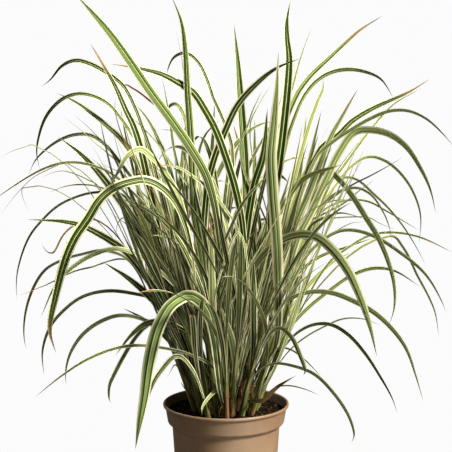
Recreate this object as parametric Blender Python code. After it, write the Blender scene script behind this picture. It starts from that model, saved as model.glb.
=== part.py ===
"""Potted Chinese silver grass: a young clump of leafy stems in peat, in a plastic nursery pot.

Lengths are in metres, +Z is up and the origin is the centre of the pot's flat base. The front of
the clump faces -Y. The pot is a standard 19 cm, 3-litre one, which gives the plant its scale.

Each leafy stem is one solid: a slim culm wrapped in its sheaths, with the blades fused to it. Most
of the blades that show follow a line read by eye from the picture, one point of it per bend, and
the rest are grown by rule. A blade that would cross another stem is bent until it clears it.
"""

import math
import random

import bmesh
import bpy
from mathutils import Matrix, Vector
from mathutils.bvhtree import BVHTree
from mathutils.noise import noise

# Pot
POT_HEIGHT = 0.150
POT_SIDES = 48
LIP_RADIUS = 0.095
LIP_HEIGHT = 0.0050
BAND_TOP_RADIUS = 0.0915
BAND_FOOT_RADIUS = 0.0875
BAND_FOOT_Z = 0.1210
SHOULDER_Z = 0.1165
BODY_TOP_RADIUS = 0.0810
BASE_RADIUS = 0.0735
POT_WALL = 0.0014
POT_FLOOR = 0.0020
DRAIN_HOLES = 6
DRAIN_HOLE_RADIUS = 0.0045
DRAIN_RING_RADIUS = 0.056

# Peat
FIT_GAP = 0.0003
SOIL_Z = 0.1370
SOIL_RINGS = 5
SOIL_LUMP = 0.0022
SOIL_LUMP_SIZE = 0.016

# Stems
STEMS = 44
CROWN_RADIUS = 0.050
GOLDEN_ANGLE = math.radians(137.508)
CULM_SIDES = 5
CULM_FOOT_RADIUS = 0.0037
CULM_TOP_RADIUS = 0.0012
CULM_DEPTH = 0.022
CULM_CLEARANCE = 0.0006
CULM_HEIGHTS = (0.13, 0.25)
STRAIGHT_FOOT = 0.010
OUTER_LEAN = math.radians(20)
LEAN_SPREAD = math.radians(1.5)
CULM_BOW = 0.35
STEM_SEED = 11

# Blades
BLADE_THICKNESS = 0.0009
TIP_THINNING = 0.3
LEAVES_PER_STEM = 6
FIRST_LEAF = 0.012
LAST_LEAF = 0.012
PARTING_ANGLE = math.radians(16)
ROOT_WIDTH = 0.3
ROOT_SHARE = 0.35
TIP_SHARE = 0.6
BEND_WEIGHT = 0.07
NARROWING = 0.9
NARROWEST = 0.004
CLEAR = 0.0006
JOIN_TRIES = 12
JOIN_NUDGE = 0.000012

# Blades read from the picture
TRACED_SEGMENTS = 8
CURVE_STEPS = 8
PIXEL_SIZE = 0.0015
SIDEWAYS_REACH = 80
STEM_CHOICES = 10
FRONT_DEPTH = -0.120
FRONT_BOW = 0.032
DEPTH_SHIFT = 0.063
DEPTH_STEP = 0.009

# Blades grown by rule, and the space they fill
GROWN_SEED = 30
GROWN_SEGMENTS = 6
GROWN_STEPS = 40
GROWN_TRIES = 60
GROWN_WIDTHS = (0.007, 0.012)
GROWN_TWIST = 45
UPRIGHT_SHARE = 0.55
LOW_LEAF = 0.05
SHOWN_PLACES = 16
SHOWN_MARGIN = 0.003
PATIENCE = 15
CLUMP_FOOT = 0.055
CLUMP_SPREAD = 0.34
CLUMP_TOP = 0.46
CLUMP_REACH = 0.33

# The eye that saw the picture: its place, how far it looks down, and its focal length in pixels
EYE = Vector((0, -2.2, 0.739))
EYE_PITCH = math.radians(8.3)
EYE_FOCAL = 1500
PICTURE_MIDDLE = 226

# Blades read from the picture. Each has the depth of its tip and its width in millimetres, its turn
# from face-on at the root, middle and tip in degrees, and its line in picture pixels, root to tip.
TRACED = {
    "low_right_brown": (-60, 7, (20, 20, 30), (
        (255, 409), (264, 400), (279, 386), (296, 375.5))),
    "front_left_arch": (-150, 22, (30, 40, 5), (
        (220.8, 389), (219, 372), (214.5, 334), (207.5, 309), (195, 296.5), (186.5, 295.2),
        (177.5, 299), (168.5, 306.5), (161.5, 318), (155.5, 332.5), (148.3, 364), (144, 396),
        (139, 425), (135.3, 449.5))),
    "front_centre_arch": (-160, 18, (35, 40, 5), (
        (236, 380), (247, 315), (249, 281.5), (246.3, 254.5), (241.7, 236), (238, 232.5),
        (234, 237), (226, 257.5), (218, 281.5), (213.2, 306), (213.5, 318))),
    "right_arch": (-150, 16, (70, 35, 5), (
        (238, 350), (247, 298), (255, 268), (273, 247), (294, 236.3), (315, 237), (333, 251),
        (348.5, 272), (360, 297), (369, 323), (377, 357))),
    "left_arch": (-130, 17, (75, 35, 5), (
        (203, 282), (191.5, 251), (185, 226), (174.5, 202), (160, 187), (145, 180.8),
        (130, 182.5), (114, 188.5), (100, 200), (88, 219), (75, 238), (66, 258), (56, 295),
        (49.7, 330), (56, 353))),
    "pale_upright": (-230, 17, (5, 5, 30), (
        (276, 345), (278.3, 285), (276.5, 235), (273, 190), (271.5, 155), (274.5, 122),
        (276.8, 92), (278.5, 50))),
    "left_sword": (-120, 14, (10, 10, 15), (
        (208, 180), (190, 147), (170, 118), (150, 91), (130, 61.5), (110, 33.5), (90, 10),
        (74, -7))),
    "centre_sword": (-90, 12, (10, 5, 15), (
        (205, 305), (203.3, 266), (199.5, 240), (194.5, 213), (192.5, 170), (190.5, 130),
        (187.5, 90), (185.5, 52), (181.5, 22), (171, -5))),
    "right_sword": (60, 14, (10, 5, 35), (
        (270, 215), (276, 183), (280.5, 152), (284.5, 118), (287.5, 87), (289, 58), (287, 38),
        (287, 20), (290.5, 0))),
    "middle_upright": (70, 13, (10, 5, 20), (
        (246, 250), (246, 205), (245, 165), (243, 132), (240.5, 98), (238, 64), (234, 24))),
    "right_dark_arch": (-80, 13, (10, 20, 40), (
        (272, 312), (290, 264), (298.6, 237), (312, 211), (326, 181), (341, 150.5),
        (356, 131.8), (372, 130.3), (390, 135), (406, 147), (419, 166), (430, 189),
        (436, 214))),
    "middle_left_arch": (-100, 13, (10, 15, 25), (
        (243, 228), (236, 190), (226, 157), (216, 130), (205, 109.5), (193, 92), (180, 83.5),
        (163, 74.5), (143, 69), (111, 64))),
    "crossing_right": (-50, 13, (10, 20, 35), (
        (203, 262), (204.2, 225), (208, 185), (215, 157), (225, 132), (238, 105), (256, 84.5),
        (276, 68.5), (300, 58.5))),
    "left_dark": (40, 15, (15, 15, 20), (
        (192, 362), (176, 315), (157, 264), (143, 238), (127.7, 211.5), (112, 190), (96, 170),
        (80, 153.5), (57, 136))),
    "left_striped": (90, 14, (10, 10, 40), (
        (157, 226), (150, 192), (142, 155), (134, 128), (125, 109), (116, 88), (103, 65),
        (90, 43))),
    "left_green": (-60, 13, (20, 25, 30), (
        (188, 355), (168, 312), (147, 279), (127, 253), (101, 235.5), (80, 225.3), (62, 221.5),
        (44, 220.3), (27, 219.5))),
    "low_right_arch": (-90, 9, (75, 40, 15), (
        (228, 360), (245, 330), (268, 312), (291, 298.5), (311, 292.2), (333, 293.5),
        (354, 301.6), (373, 312), (391, 328), (406, 348.5), (416.5, 378), (423.5, 402))),
    "right_hanging": (-130, 10, (65, 35, 15), (
        (300, 222), (317, 184), (326, 171), (338, 179), (352, 196), (364, 215), (379, 239.5),
        (391.5, 272), (394.6, 289), (394, 309), (389, 325.5))),
    "mint_upright": (-50, 13, (10, 10, 30), (
        (245, 245), (249.5, 211), (255, 183), (263, 157), (267.5, 108))),
    "front_pale": (-80, 11, (15, 10, 10), (
        (232.5, 405), (235, 378.5), (232, 340), (224.5, 317), (220, 304))),
    "left_low_green": (60, 12, (20, 15, 20), (
        (202, 395), (186, 352), (166, 316), (147, 294.5), (125.5, 276.5), (103, 262))),
    "right_dark": (-30, 10, (15, 15, 35), (
        (291, 238), (300.5, 213), (309, 194), (320, 165), (332, 135), (343, 115),
        (358, 88.5))),
    "right_upper": (110, 9, (15, 15, 30), (
        (283, 128), (290.5, 108), (299, 90.5), (312, 74), (328, 59), (344, 44), (360, 30),
        (383, 15.5))),
    "right_folded": (130, 11, (20, 20, 30), (
        (320, 150), (338, 135.5), (352, 121.5), (371, 109.5), (391, 100.2), (409, 92),
        (430, 79))),
    "left_pale": (130, 10, (20, 20, 30), (
        (145, 180), (133, 156), (120, 138), (104, 123.5), (88, 110.5), (72, 100), (56, 93))),
    "left_high_arch": (150, 9, (25, 45, 20), (
        (156, 175), (150, 150), (142, 127), (134, 106), (123, 86), (108, 74), (90, 64),
        (75, 60.6), (62, 66), (50, 80), (41, 87))),
    "right_yellow": (40, 7, (25, 25, 30), (
        (287, 210), (293, 187), (298, 166), (304, 144), (311, 120), (318, 101), (323.5, 86),
        (322, 76.5))),
    "left_yellow_arch": (-120, 11, (70, 45, 20), (
        (180, 200), (165, 173), (151, 157), (140, 149.6), (128, 155.5), (117, 174),
        (107.5, 191.5))),
    "low_left_cut": (-90, 11, (65, 35, 15), (
        (207, 372), (196, 342), (180, 329), (160, 322.3), (145.5, 324.3), (131, 335.5),
        (115.3, 355.7))),
    "low_left_thin": (-60, 6, (70, 40, 20), (
        (223, 400), (212, 367), (190, 355), (166, 348.7), (137, 345.6), (115, 348.7),
        (86.5, 360), (63.5, 374.5), (34.5, 397.5))),
    "low_left_drop": (-120, 9, (70, 40, 15), (
        (203, 397), (191, 368), (176.5, 356.5), (163, 368.5), (151.3, 387.5), (145, 412))),
    "front_right_hook": (-140, 8, (70, 40, 15), (
        (258, 360), (264, 345), (279, 328.5), (291, 337), (299.5, 354), (305, 370),
        (303.5, 375.5))),
    "low_right_long": (-130, 6, (70, 40, 20), (
        (247, 392), (254, 377), (272, 364.4), (294, 366.5), (315, 375), (334, 394),
        (348.5, 416), (354, 434), (351.5, 443))),
    "right_mid_arch": (60, 8, (20, 35, 35), (
        (257, 395), (267, 369), (282, 338), (305, 311), (330, 290.5), (352, 275.5),
        (373, 268.5), (393, 270.5), (420, 286.5))),
    "right_bright": (120, 9, (20, 25, 30), (
        (255, 385), (275, 335), (294, 305), (315, 278), (336, 260), (352, 252))),
    "right_bright_upper": (170, 8, (20, 30, 35), (
        (262, 335), (282, 295), (301, 270.5), (320, 256.5), (341, 249), (373, 238))),
    "right_pale_arch": (-60, 7, (70, 40, 30), (
        (262, 392), (276, 362), (293.5, 336.5), (312, 325.5), (330, 324.7), (347, 334),
        (364.5, 353), (379, 375), (392, 398), (397.5, 413))),
    "left_low_arch": (40, 8, (70, 40, 30), (
        (190, 360), (170, 334), (147, 321.3), (121, 315.6), (102.3, 321), (83.5, 334),
        (70.6, 353), (65.6, 373), (66.3, 386))),
    "left_mid_arch": (-80, 9, (70, 40, 30), (
        (198, 318), (180, 292.3), (158.5, 270.7), (135.5, 254), (115.3, 249), (93.7, 254.8),
        (72, 267.8), (57, 283), (40.5, 318))),
    "middle_far_arch": (200, 8, (25, 45, 30), (
        (232, 150), (222, 118), (213, 98), (207, 80), (198, 62.5), (186, 53.5), (174, 57.5),
        (168, 69), (167, 75))),
    "right_high_arch": (160, 9, (30, 45, 30), (
        (287, 142), (294, 120), (304, 97), (315, 83), (328, 74), (345, 69.7), (364, 71.7),
        (381, 79.5), (394, 99))),
    "left_hook": (180, 8, (30, 45, 30), (
        (150, 165), (134, 138), (121, 119), (108, 104), (90, 95.3), (75, 94.5), (60, 101),
        (46, 117), (39, 136), (36.7, 153), (40, 170))),
    "left_second_arch": (120, 7, (30, 40, 30), (
        (140, 192), (120, 163), (105, 145), (92, 136), (78, 134.5), (62, 139), (46, 149.5),
        (35, 161), (28.5, 175))),
    "left_long": (60, 6, (30, 40, 35), (
        (150, 212), (135, 195), (110, 173), (90, 165), (74, 162.5), (58, 164), (40, 170.5),
        (20, 182), (0, 195.5), (-14, 206))),
    "left_pale_arch": (130, 5, (30, 40, 30), (
        (125, 197), (105, 192.5), (90, 193.3), (74, 198), (58, 206), (43, 219.5),
        (29, 237.5), (18, 269), (16.3, 285), (17, 301))),
    "middle_dark_arch": (160, 8, (30, 45, 30), (
        (196, 165), (188, 135), (182, 112), (175, 104.3), (168, 109), (169, 116))),
    "long_dry": (-110, 5, (20, 35, 35), (
        (238, 232), (224, 206.5), (211, 190), (195, 177.5), (180, 168), (162, 165.3),
        (141, 169.5))),
    "right_far_long": (-60, 6, (30, 35, 35), (
        (317, 157), (333, 142), (350, 130.5), (370, 119), (390, 111.2), (409, 111.3),
        (427, 119.5), (442, 133), (455, 148))),
    "right_far_arch": (120, 6, (30, 40, 30), (
        (322, 206), (338, 182), (352, 166), (368, 157), (383, 160), (399, 172), (413, 192),
        (420.5, 216), (419, 245))),
    "right_grey": (200, 6, (30, 30, 35), (
        (330, 184), (343, 167), (358, 146), (375, 124), (393, 104.8), (421, 88.5))),
    "right_short": (-120, 9, (15, 30, 35), (
        (276, 222), (289, 197), (302, 180.5), (316, 173), (333, 167.5), (343, 164))),
    "right_low_far": (-40, 7, (30, 40, 30), (
        (290, 290), (300, 268), (312, 250), (335, 233), (350, 230.3), (373, 236),
        (399, 252), (425, 274), (442, 302), (446, 313))),
    "right_drooping": (60, 5, (30, 40, 30), (
        (330, 195), (344, 178), (356, 179.5), (373, 193.5), (390, 210), (405, 229),
        (420, 254), (426, 266))),
    "right_pale_far": (140, 5, (30, 35, 30), (
        (390, 236), (403, 247.6), (417.6, 276.4), (427.7, 295), (435, 312.5), (439, 338))),
    "right_yellow_drop": (-150, 5, (70, 40, 25), (
        (308, 226), (322, 205), (341, 191), (358, 188.3), (371, 195), (382, 210),
        (389, 226), (392, 242))),
    "left_thin_arch": (80, 7, (30, 40, 30), (
        (190, 330), (160, 302), (132.6, 293.7), (106.6, 291.3), (82, 297.3), (63.4, 311),
        (50.3, 327), (42.5, 351.5), (44, 376))),
    "left_far_arch": (160, 6, (30, 40, 30), (
        (130, 262), (105, 251), (82, 254.5), (62, 260.5), (44.7, 270.7), (31.7, 292),
        (24.5, 319.7), (24.5, 341.3), (26.7, 350.5))),
    "left_narrow": (-60, 8, (20, 20, 30), (
        (208, 310), (191.5, 264), (177, 237), (158, 216.5), (131, 202), (113, 197))),
    "left_slim": (140, 5, (20, 20, 30), (
        (182, 185), (174, 150), (170, 122), (166.5, 100), (162, 77))),
    "middle_slim": (170, 6, (20, 20, 30), (
        (243, 185), (253, 157), (265, 135.5), (276, 114), (283, 92))),
    "middle_yellow": (-130, 5, (20, 20, 30), (
        (222, 250), (232, 225), (244.5, 201), (256, 187), (269, 174.5))),
    "curled_at_rim": (-92, 6, (15, 20, 15), (
        (222.5, 404), (221.5, 396), (218, 390.7), (209, 397.5), (202, 409), (202, 414))),
    "left_tail": (120, 7, (20, 20, 30), (
        (196, 385), (180, 355.5), (162, 334), (143, 318.6), (122.5, 308))),
    "left_drop": (-60, 7, (20, 30, 30), (
        (165, 322), (150, 326), (132, 343), (122.5, 360), (111, 381.5), (109, 397.5),
        (110.7, 403.5))),
    "right_tip": (130, 5, (20, 20, 30), (
        (285, 110), (292, 88), (298, 66), (304.5, 46), (312, 27))),
    "right_thin_long": (150, 5, (30, 35, 30), (
        (330, 262), (345, 250), (370, 235.5), (392, 232.5), (419, 237), (453, 252.5))),
    "right_thin_mid": (180, 5, (30, 35, 30), (
        (300, 240), (313, 221), (330, 206), (350, 200), (368, 201.5), (388, 212),
        (420, 231))),
}


def material(name, colour, roughness):
    made = bpy.data.materials.new(name)
    made.use_nodes = True
    shader = made.node_tree.nodes["Principled BSDF"]
    shader.inputs["Base Color"].default_value = (*colour, 1)
    shader.inputs["Roughness"].default_value = roughness
    shader.inputs["Metallic"].default_value = 0
    return made


def add_object(name, mesh, finish):
    made = bpy.data.objects.new(name, mesh)
    mesh.materials.append(finish)
    bpy.context.scene.collection.objects.link(made)
    return made


def mesh_of(name, points, faces):
    mesh = bpy.data.meshes.new(name)
    mesh.from_pydata([tuple(point) for point in points], [], faces)
    return mesh


def turned(name, profile):
    """A closed solid of revolution about Z from (radius, height) points that begin and end on the axis."""
    shape = bmesh.new()
    chain = [shape.verts.new((radius, 0, height)) for radius, height in profile]
    edges = [shape.edges.new(pair) for pair in zip(chain, chain[1:])]
    bmesh.ops.spin(shape, geom=chain + edges, cent=(0, 0, 0), axis=(0, 0, 1), angle=math.tau,
                   steps=POT_SIDES, use_merge=True)
    bmesh.ops.remove_doubles(shape, verts=shape.verts, dist=1e-6)
    bmesh.ops.dissolve_degenerate(shape, edges=shape.edges, dist=1e-7)
    bmesh.ops.recalc_face_normals(shape, faces=shape.faces)
    mesh = bpy.data.meshes.new(name)
    shape.to_mesh(mesh)
    shape.free()
    return mesh


def wall_line(inset):
    """The pot's side from its floor to just under its lip, moved in by inset."""
    return [
        (BASE_RADIUS - inset, 0.0015),
        (BODY_TOP_RADIUS - inset, SHOULDER_Z),
        (BAND_FOOT_RADIUS - inset, BAND_FOOT_Z),
        (BAND_TOP_RADIUS - inset, POT_HEIGHT - LIP_HEIGHT),
    ]


def make_pot(finish):
    """A thin-walled pot with a stepped band, a rounded lip and drain holes round a solid middle."""
    lip = LIP_HEIGHT / 2
    outer = wall_line(0)
    inner = wall_line(POT_WALL)
    lip_round = [
        (LIP_RADIUS - 0.0008, POT_HEIGHT - LIP_HEIGHT + 0.0004),
        (LIP_RADIUS, POT_HEIGHT - lip),
        (LIP_RADIUS - 0.0008, POT_HEIGHT - 0.0005),
        (LIP_RADIUS - 0.0022, POT_HEIGHT),
        (LIP_RADIUS - 0.0042, POT_HEIGHT - 0.0008),
    ]
    profile = [(0, 0), (BASE_RADIUS - 0.0015, 0), *outer, *lip_round]
    profile += [*reversed(inner[1:]), (BASE_RADIUS - POT_WALL, POT_FLOOR), (0, POT_FLOOR)]
    pot = add_object("pot", turned("pot", profile), finish)
    drill = bmesh.new()
    for hole in range(DRAIN_HOLES):
        angle = math.tau * (hole + 0.5) / DRAIN_HOLES
        place = Matrix.Rotation(angle, 4, "Z") @ Matrix.Translation((DRAIN_RING_RADIUS, 0, POT_FLOOR / 2))
        bmesh.ops.create_cone(drill, cap_ends=True, segments=10, radius1=DRAIN_HOLE_RADIUS,
                              radius2=DRAIN_HOLE_RADIUS, depth=4 * POT_FLOOR, matrix=place)
    cut(pot, drill, "drain_drill")
    pot.data.shade_smooth()
    pot.data.set_sharp_from_angle(angle=math.radians(35))
    return pot


def cut(solid, tool_shape, name):
    """Cuts the tool out of the solid and applies the cut."""
    mesh = bpy.data.meshes.new(name)
    tool_shape.to_mesh(mesh)
    tool_shape.free()
    tool = bpy.data.objects.new(name, mesh)
    tool.hide_render = True
    tool.display_type = "WIRE"
    bpy.context.scene.collection.objects.link(tool)
    boolean = solid.modifiers.new("Cut", "BOOLEAN")
    boolean.object = tool
    boolean.operation = "DIFFERENCE"
    apply_modifiers(solid)
    bpy.data.objects.remove(tool)


def apply_modifiers(solid):
    bpy.context.view_layer.update()
    evaluated = solid.evaluated_get(bpy.context.evaluated_depsgraph_get())
    mesh = bpy.data.meshes.new_from_object(evaluated)
    solid.modifiers.clear()
    solid.data = mesh


def make_soil(finish, stems):
    """A plug of peat that fills the pot, lumpy on top, with a plain hole for each stem."""
    inner = wall_line(POT_WALL + FIT_GAP)
    under_lip = (SOIL_Z - BAND_FOOT_Z) / (POT_HEIGHT - LIP_HEIGHT - BAND_FOOT_Z)
    rim = inner[2][0] + (inner[3][0] - inner[2][0]) * under_lip
    profile = [(0, POT_FLOOR + FIT_GAP), (inner[0][0] - 0.0004, POT_FLOOR + FIT_GAP)]
    profile += [(inner[1][0], SHOULDER_Z + 0.0002), inner[2], (rim, SOIL_Z)]
    profile += [(rim * ring / SOIL_RINGS, SOIL_Z) for ring in range(SOIL_RINGS - 1, -1, -1)]
    soil = add_object("soil", turned("soil", profile), finish)
    for vertex in soil.data.vertices:
        radius = math.hypot(vertex.co.x, vertex.co.y)
        if vertex.co.z == max(vertex.co.z, SOIL_Z - 1e-5) and radius < rim - 0.002:
            vertex.co.z += SOIL_LUMP * noise(vertex.co / SOIL_LUMP_SIZE)
    drill = bmesh.new()
    for stem in stems:
        radius = CULM_FOOT_RADIUS + CULM_CLEARANCE
        low = stem["foot"] - stem["axis"] * (CULM_DEPTH + FIT_GAP)
        high = stem["foot"] + stem["axis"] * 0.008
        points = ring_points(low, stem["axis"], radius) + ring_points(high, stem["axis"], radius)
        drill_prism(drill, points)
    cut(soil, drill, "stem_drill")
    return soil


def drill_prism(shape, points):
    made = [shape.verts.new(point) for point in points]
    low, high = made[:CULM_SIDES], made[CULM_SIDES:]
    shape.faces.new(low[::-1])
    shape.faces.new(high)
    for side in range(CULM_SIDES):
        after = (side + 1) % CULM_SIDES
        shape.faces.new((low[side], low[after], high[after], high[side]))


def ring_points(centre, axis, radius):
    """The corners of a culm's section, square to its axis."""
    across = axis.cross(Vector((0, 1, 0))).normalized()
    along = axis.cross(across)
    corners = []
    for side in range(CULM_SIDES):
        angle = math.tau * side / CULM_SIDES
        corners.append(centre + radius * (across * math.cos(angle) + along * math.sin(angle)))
    return corners


def stem_table():
    """Where each stem stands in the crown, how it leans and how tall its culm is."""
    draw = random.Random(STEM_SEED)
    stems = []
    for number in range(STEMS):
        radius = CROWN_RADIUS * math.sqrt((number + 0.5) / STEMS)
        angle = number * GOLDEN_ANGLE
        outward = Vector((math.cos(angle), math.sin(angle), 0))
        foot = outward * radius + Vector((0, 0, SOIL_Z))
        lean = OUTER_LEAN * (radius / CROWN_RADIUS) + draw.uniform(-LEAN_SPREAD, LEAN_SPREAD)
        axis = (outward * math.sin(lean) + Vector((0, 0, 1)) * math.cos(lean)).normalized()
        height = draw.uniform(*CULM_HEIGHTS)
        step = (height - FIRST_LEAF - LAST_LEAF) / (LEAVES_PER_STEM - 1)
        free = [FIRST_LEAF + step * place for place in range(LEAVES_PER_STEM)]
        stems.append({"foot": foot, "axis": axis, "outward": outward * (radius / CROWN_RADIUS),
                      "height": height, "free": free, "leaves": []})
    return stems


def culm_point(stem, height):
    """The culm's centre line: straight through the peat, then bowing outwards."""
    bow = CULM_BOW * max(height, 0) ** 2
    return stem["foot"] + stem["axis"] * height + stem["outward"] * bow


def culm_direction(stem, height):
    step = 0.002
    return (culm_point(stem, height + step) - culm_point(stem, height)).normalized()


def culm_mesh(stem):
    """A tapering culm from its buried foot to its top, as points and faces."""
    heights = (-CULM_DEPTH, STRAIGHT_FOOT, 0.5 * stem["height"], stem["height"])
    points, faces = [], []
    for height in heights:
        share = max(height, 0) / stem["height"]
        radius = CULM_FOOT_RADIUS + (CULM_TOP_RADIUS - CULM_FOOT_RADIUS) * share
        axis = stem["axis"] if height <= STRAIGHT_FOOT else culm_direction(stem, height)
        points += ring_points(culm_point(stem, height), axis, radius)
    for level in range(len(heights) - 1):
        for side in range(CULM_SIDES):
            here = level * CULM_SIDES + side
            after = level * CULM_SIDES + (side + 1) % CULM_SIDES
            faces.append((here, after, after + CULM_SIDES, here + CULM_SIDES))
    faces.append(tuple(range(CULM_SIDES - 1, -1, -1)))
    faces.append(tuple(range(len(points) - CULM_SIDES, len(points))))
    return points, faces


def seen_point(pixel, depth):
    """The point at that depth that the eye sees at a pixel of the picture."""
    ahead = Vector((0, math.cos(EYE_PITCH), -math.sin(EYE_PITCH)))
    up = Vector((0, math.sin(EYE_PITCH), math.cos(EYE_PITCH)))
    ray = ahead * EYE_FOCAL + Vector((pixel[0] - PICTURE_MIDDLE, 0, 0)) + up * (PICTURE_MIDDLE - pixel[1])
    return EYE + ray * ((depth - EYE.y) / ray.y)


def pixel_of(point):
    """The pixel of the picture at which the eye sees a point."""
    ahead = Vector((0, math.cos(EYE_PITCH), -math.sin(EYE_PITCH)))
    up = Vector((0, math.sin(EYE_PITCH), math.cos(EYE_PITCH)))
    way = (point - EYE) * EYE_FOCAL / (point - EYE).dot(ahead)
    return PICTURE_MIDDLE + way.x, PICTURE_MIDDLE - way.dot(up)


def smooth_line(corners, lead):
    """A curve through the corners that starts along lead and halves each corner's turn."""
    runs = [(after - here).normalized() for here, after in zip(corners, corners[1:])]
    headings = [lead, *[(a + b).normalized() for a, b in zip(runs, runs[1:])], runs[-1]]
    line = []
    for index, (here, after) in enumerate(zip(corners, corners[1:])):
        chord = (after - here).length
        for step in range(CURVE_STEPS):
            t = step / CURVE_STEPS
            line.append((2 * t ** 3 - 3 * t ** 2 + 1) * here + (3 * t ** 2 - 2 * t ** 3) * after
                        + (t ** 3 - 2 * t ** 2 + t) * chord * headings[index]
                        + (t ** 3 - t ** 2) * chord * headings[index + 1])
    return [*line, corners[-1]]


def traced_line(stem, height, depth, pixels):
    """The blade's line in space: out of its culm, then along the sight lines of its picture points."""
    start = culm_point(stem, height)
    flat = [Vector((*pixel, 0)) for pixel in pixels]
    run = [0]
    for a, b in zip(flat, flat[1:]):
        run.append(run[-1] + (b - a).length)
    hidden = (seen_point(pixels[0], start.y) - start).length / PIXEL_SIZE
    reach = max(abs(pixel[0] - pixels[0][0]) for pixel in pixels)
    sideways = min(1, reach / SIDEWAYS_REACH)
    bow = FRONT_BOW if depth <= FRONT_DEPTH else 0
    corners = []
    for pixel, along in zip(pixels, run):
        span = (along + hidden) / (run[-1] + hidden)
        by_length = span ** 1.5
        by_reach = abs(pixel[0] - pixels[0][0]) / max(reach, 1)
        share = by_length + (by_reach - by_length) * 0.7 * sideways
        ahead = bow * 2 * math.sqrt(span * (1 - span))
        corners.append(seen_point(pixel, start.y + (depth - start.y) * share - ahead))
    while len(corners) > 3 and ((corners[0] - start).length < 0.02 or corners[0].z < start.z + 0.008):
        corners = corners[1:]
    return smooth_line([start, *corners], parting(stem, height, corners[0] - start))


def parting(stem, height, towards):
    """The direction in which a blade parts from its culm, on the side it is heading for."""
    lead = culm_direction(stem, height)
    aside = (towards - lead * towards.dot(lead)).normalized()
    return lead * math.cos(PARTING_ANGLE) + aside * math.sin(PARTING_ANGLE)


def grown_line(stem, height, heading, length, tip_angle, curl):
    """A blade's line by rule: it parts from its culm and bends over towards its heading."""
    flat = Vector((math.cos(heading), math.sin(heading), 0))
    first = parting(stem, height, flat)
    first_angle = first.angle(Vector((0, 0, 1)))
    line = [culm_point(stem, height)]
    for step in range(1, GROWN_STEPS + 1):
        share = step / GROWN_STEPS
        angle = first_angle + (tip_angle - first_angle) * share ** curl
        bent = flat * math.sin(angle) + Vector((0, 0, 1)) * math.cos(angle)
        direction = first.lerp(bent, min(1, 2.5 * share)).normalized()
        line.append(line[-1] + direction * length / GROWN_STEPS)
    return line


def spread(line, count):
    """Picks count + 1 places along the line, closer together where it bends."""
    measure = [0]
    for before, here, after in zip(line, line[1:], line[2:]):
        turn = (here - before).angle(after - here, 0)
        measure.append(measure[-1] + (here - before).length + BEND_WEIGHT * turn)
    measure.append(measure[-1] + (line[-1] - line[-2]).length)
    places = []
    index = 0
    for step in range(count + 1):
        goal = measure[-1] * step / count
        while index < len(line) - 2 and measure[index + 1] < goal:
            index += 1
        share = (goal - measure[index]) / max(measure[index + 1] - measure[index], 1e-9)
        places.append(line[index].lerp(line[index + 1], min(1, share)))
    return places


def blade_width(share):
    """A blade's width along its length, as a share of its widest."""
    root = ROOT_WIDTH + (1 - ROOT_WIDTH) * min(1, share / ROOT_SHARE) ** 0.8
    tip = 1 - max(0, (share - TIP_SHARE) / (1 - TIP_SHARE)) ** 2.2
    return root * max(tip, 0)


def blade_side(leaf, place, direction, share):
    """The unit vector across the blade at one place."""
    if leaf["turn"]:
        view = (EYE - place).normalized()
        across = view.cross(direction).normalized()
        inward = direction.cross(across)
        first, middle, last = leaf["turn"]
        degrees = first + (middle - first) * 2 * share
        if share > 0.5:
            degrees = middle + (last - middle) * (2 * share - 1)
        angle = math.radians(degrees)
        return across * math.cos(angle) + inward * math.sin(angle)
    heading = leaf["heading"]
    across = Vector((-math.sin(heading), math.cos(heading), 0))
    across = (across - direction * across.dot(direction)).normalized()
    return Matrix.Rotation(leaf["twist"] * share, 3, direction) @ across


def blade_mesh(leaf, grow=0):
    """A keeled blade, pointed at its tip, as points and triangles. grow thickens it all round.

    Each four-sided face is split along the diagonal that bulges out, so a twist never sinks one
    face of the thin blade through the other.
    """
    segments = leaf["segments"]
    places = spread(leaf["line"], segments)
    points, faces = [], []
    for index, place in enumerate(places[:-1]):
        before = places[max(index - 1, 0)]
        direction = (places[index + 1] - before).normalized()
        share = index / segments
        side = blade_side(leaf, place, direction, share)
        half = leaf["width"] * blade_width(share) / 2 + grow
        keel = side.cross(direction) * (BLADE_THICKNESS * (1 - TIP_THINNING * share) / 2 + grow)
        points += [place - side * half + keel, place + side * half + keel, place - keel]
    points.append(places[-1])
    for index in range(segments - 1):
        middle = sum(points[3 * index:3 * index + 6], Vector()) / 6
        for corner in range(3):
            here = 3 * index + corner
            after = 3 * index + (corner + 1) % 3
            quad = [points[here], points[after], points[after + 3], points[here + 3]]
            outward = sum(quad, Vector()) / 4 - middle
            if (quad[0] + quad[2] - quad[1] - quad[3]).dot(outward) > 0:
                faces += [(here, after, after + 3), (here, after + 3, here + 3)]
            else:
                faces += [(here, after, here + 3), (after, after + 3, here + 3)]
    last = 3 * (segments - 1)
    faces += [(last + corner, last + (corner + 1) % 3, last + 3) for corner in range(3)]
    faces.append((2, 1, 0))
    return points, faces


# The six triangles round a blade's first stretch
FIRST_FACES = 6


class Thicket:
    """What stands already, to bend new blades clear of it."""

    def __init__(self):
        self.standing = []

    def add(self, owner, kind, points, faces):
        self.standing.append((owner, kind, self.box(points), BVHTree.FromPolygons(points, faces)))

    @staticmethod
    def box(points):
        low = [min(point[axis] for point in points) for axis in range(3)]
        high = [max(point[axis] for point in points) for axis in range(3)]
        return low, high

    def touches(self, owner, points, faces):
        """Whether a blade meets anything that stands. Its first stretch may meet its own culm."""
        low, high = self.box(points)
        whole = BVHTree.FromPolygons(points, faces)
        free_part = BVHTree.FromPolygons(points, faces[FIRST_FACES:-1])
        for other, kind, (other_low, other_high), other_tree in self.standing:
            if any(low[axis] > other_high[axis] or high[axis] < other_low[axis] for axis in range(3)):
                continue
            tree = free_part if other == owner and kind == "culm" else whole
            if tree.overlap(other_tree):
                return True
        return False


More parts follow.
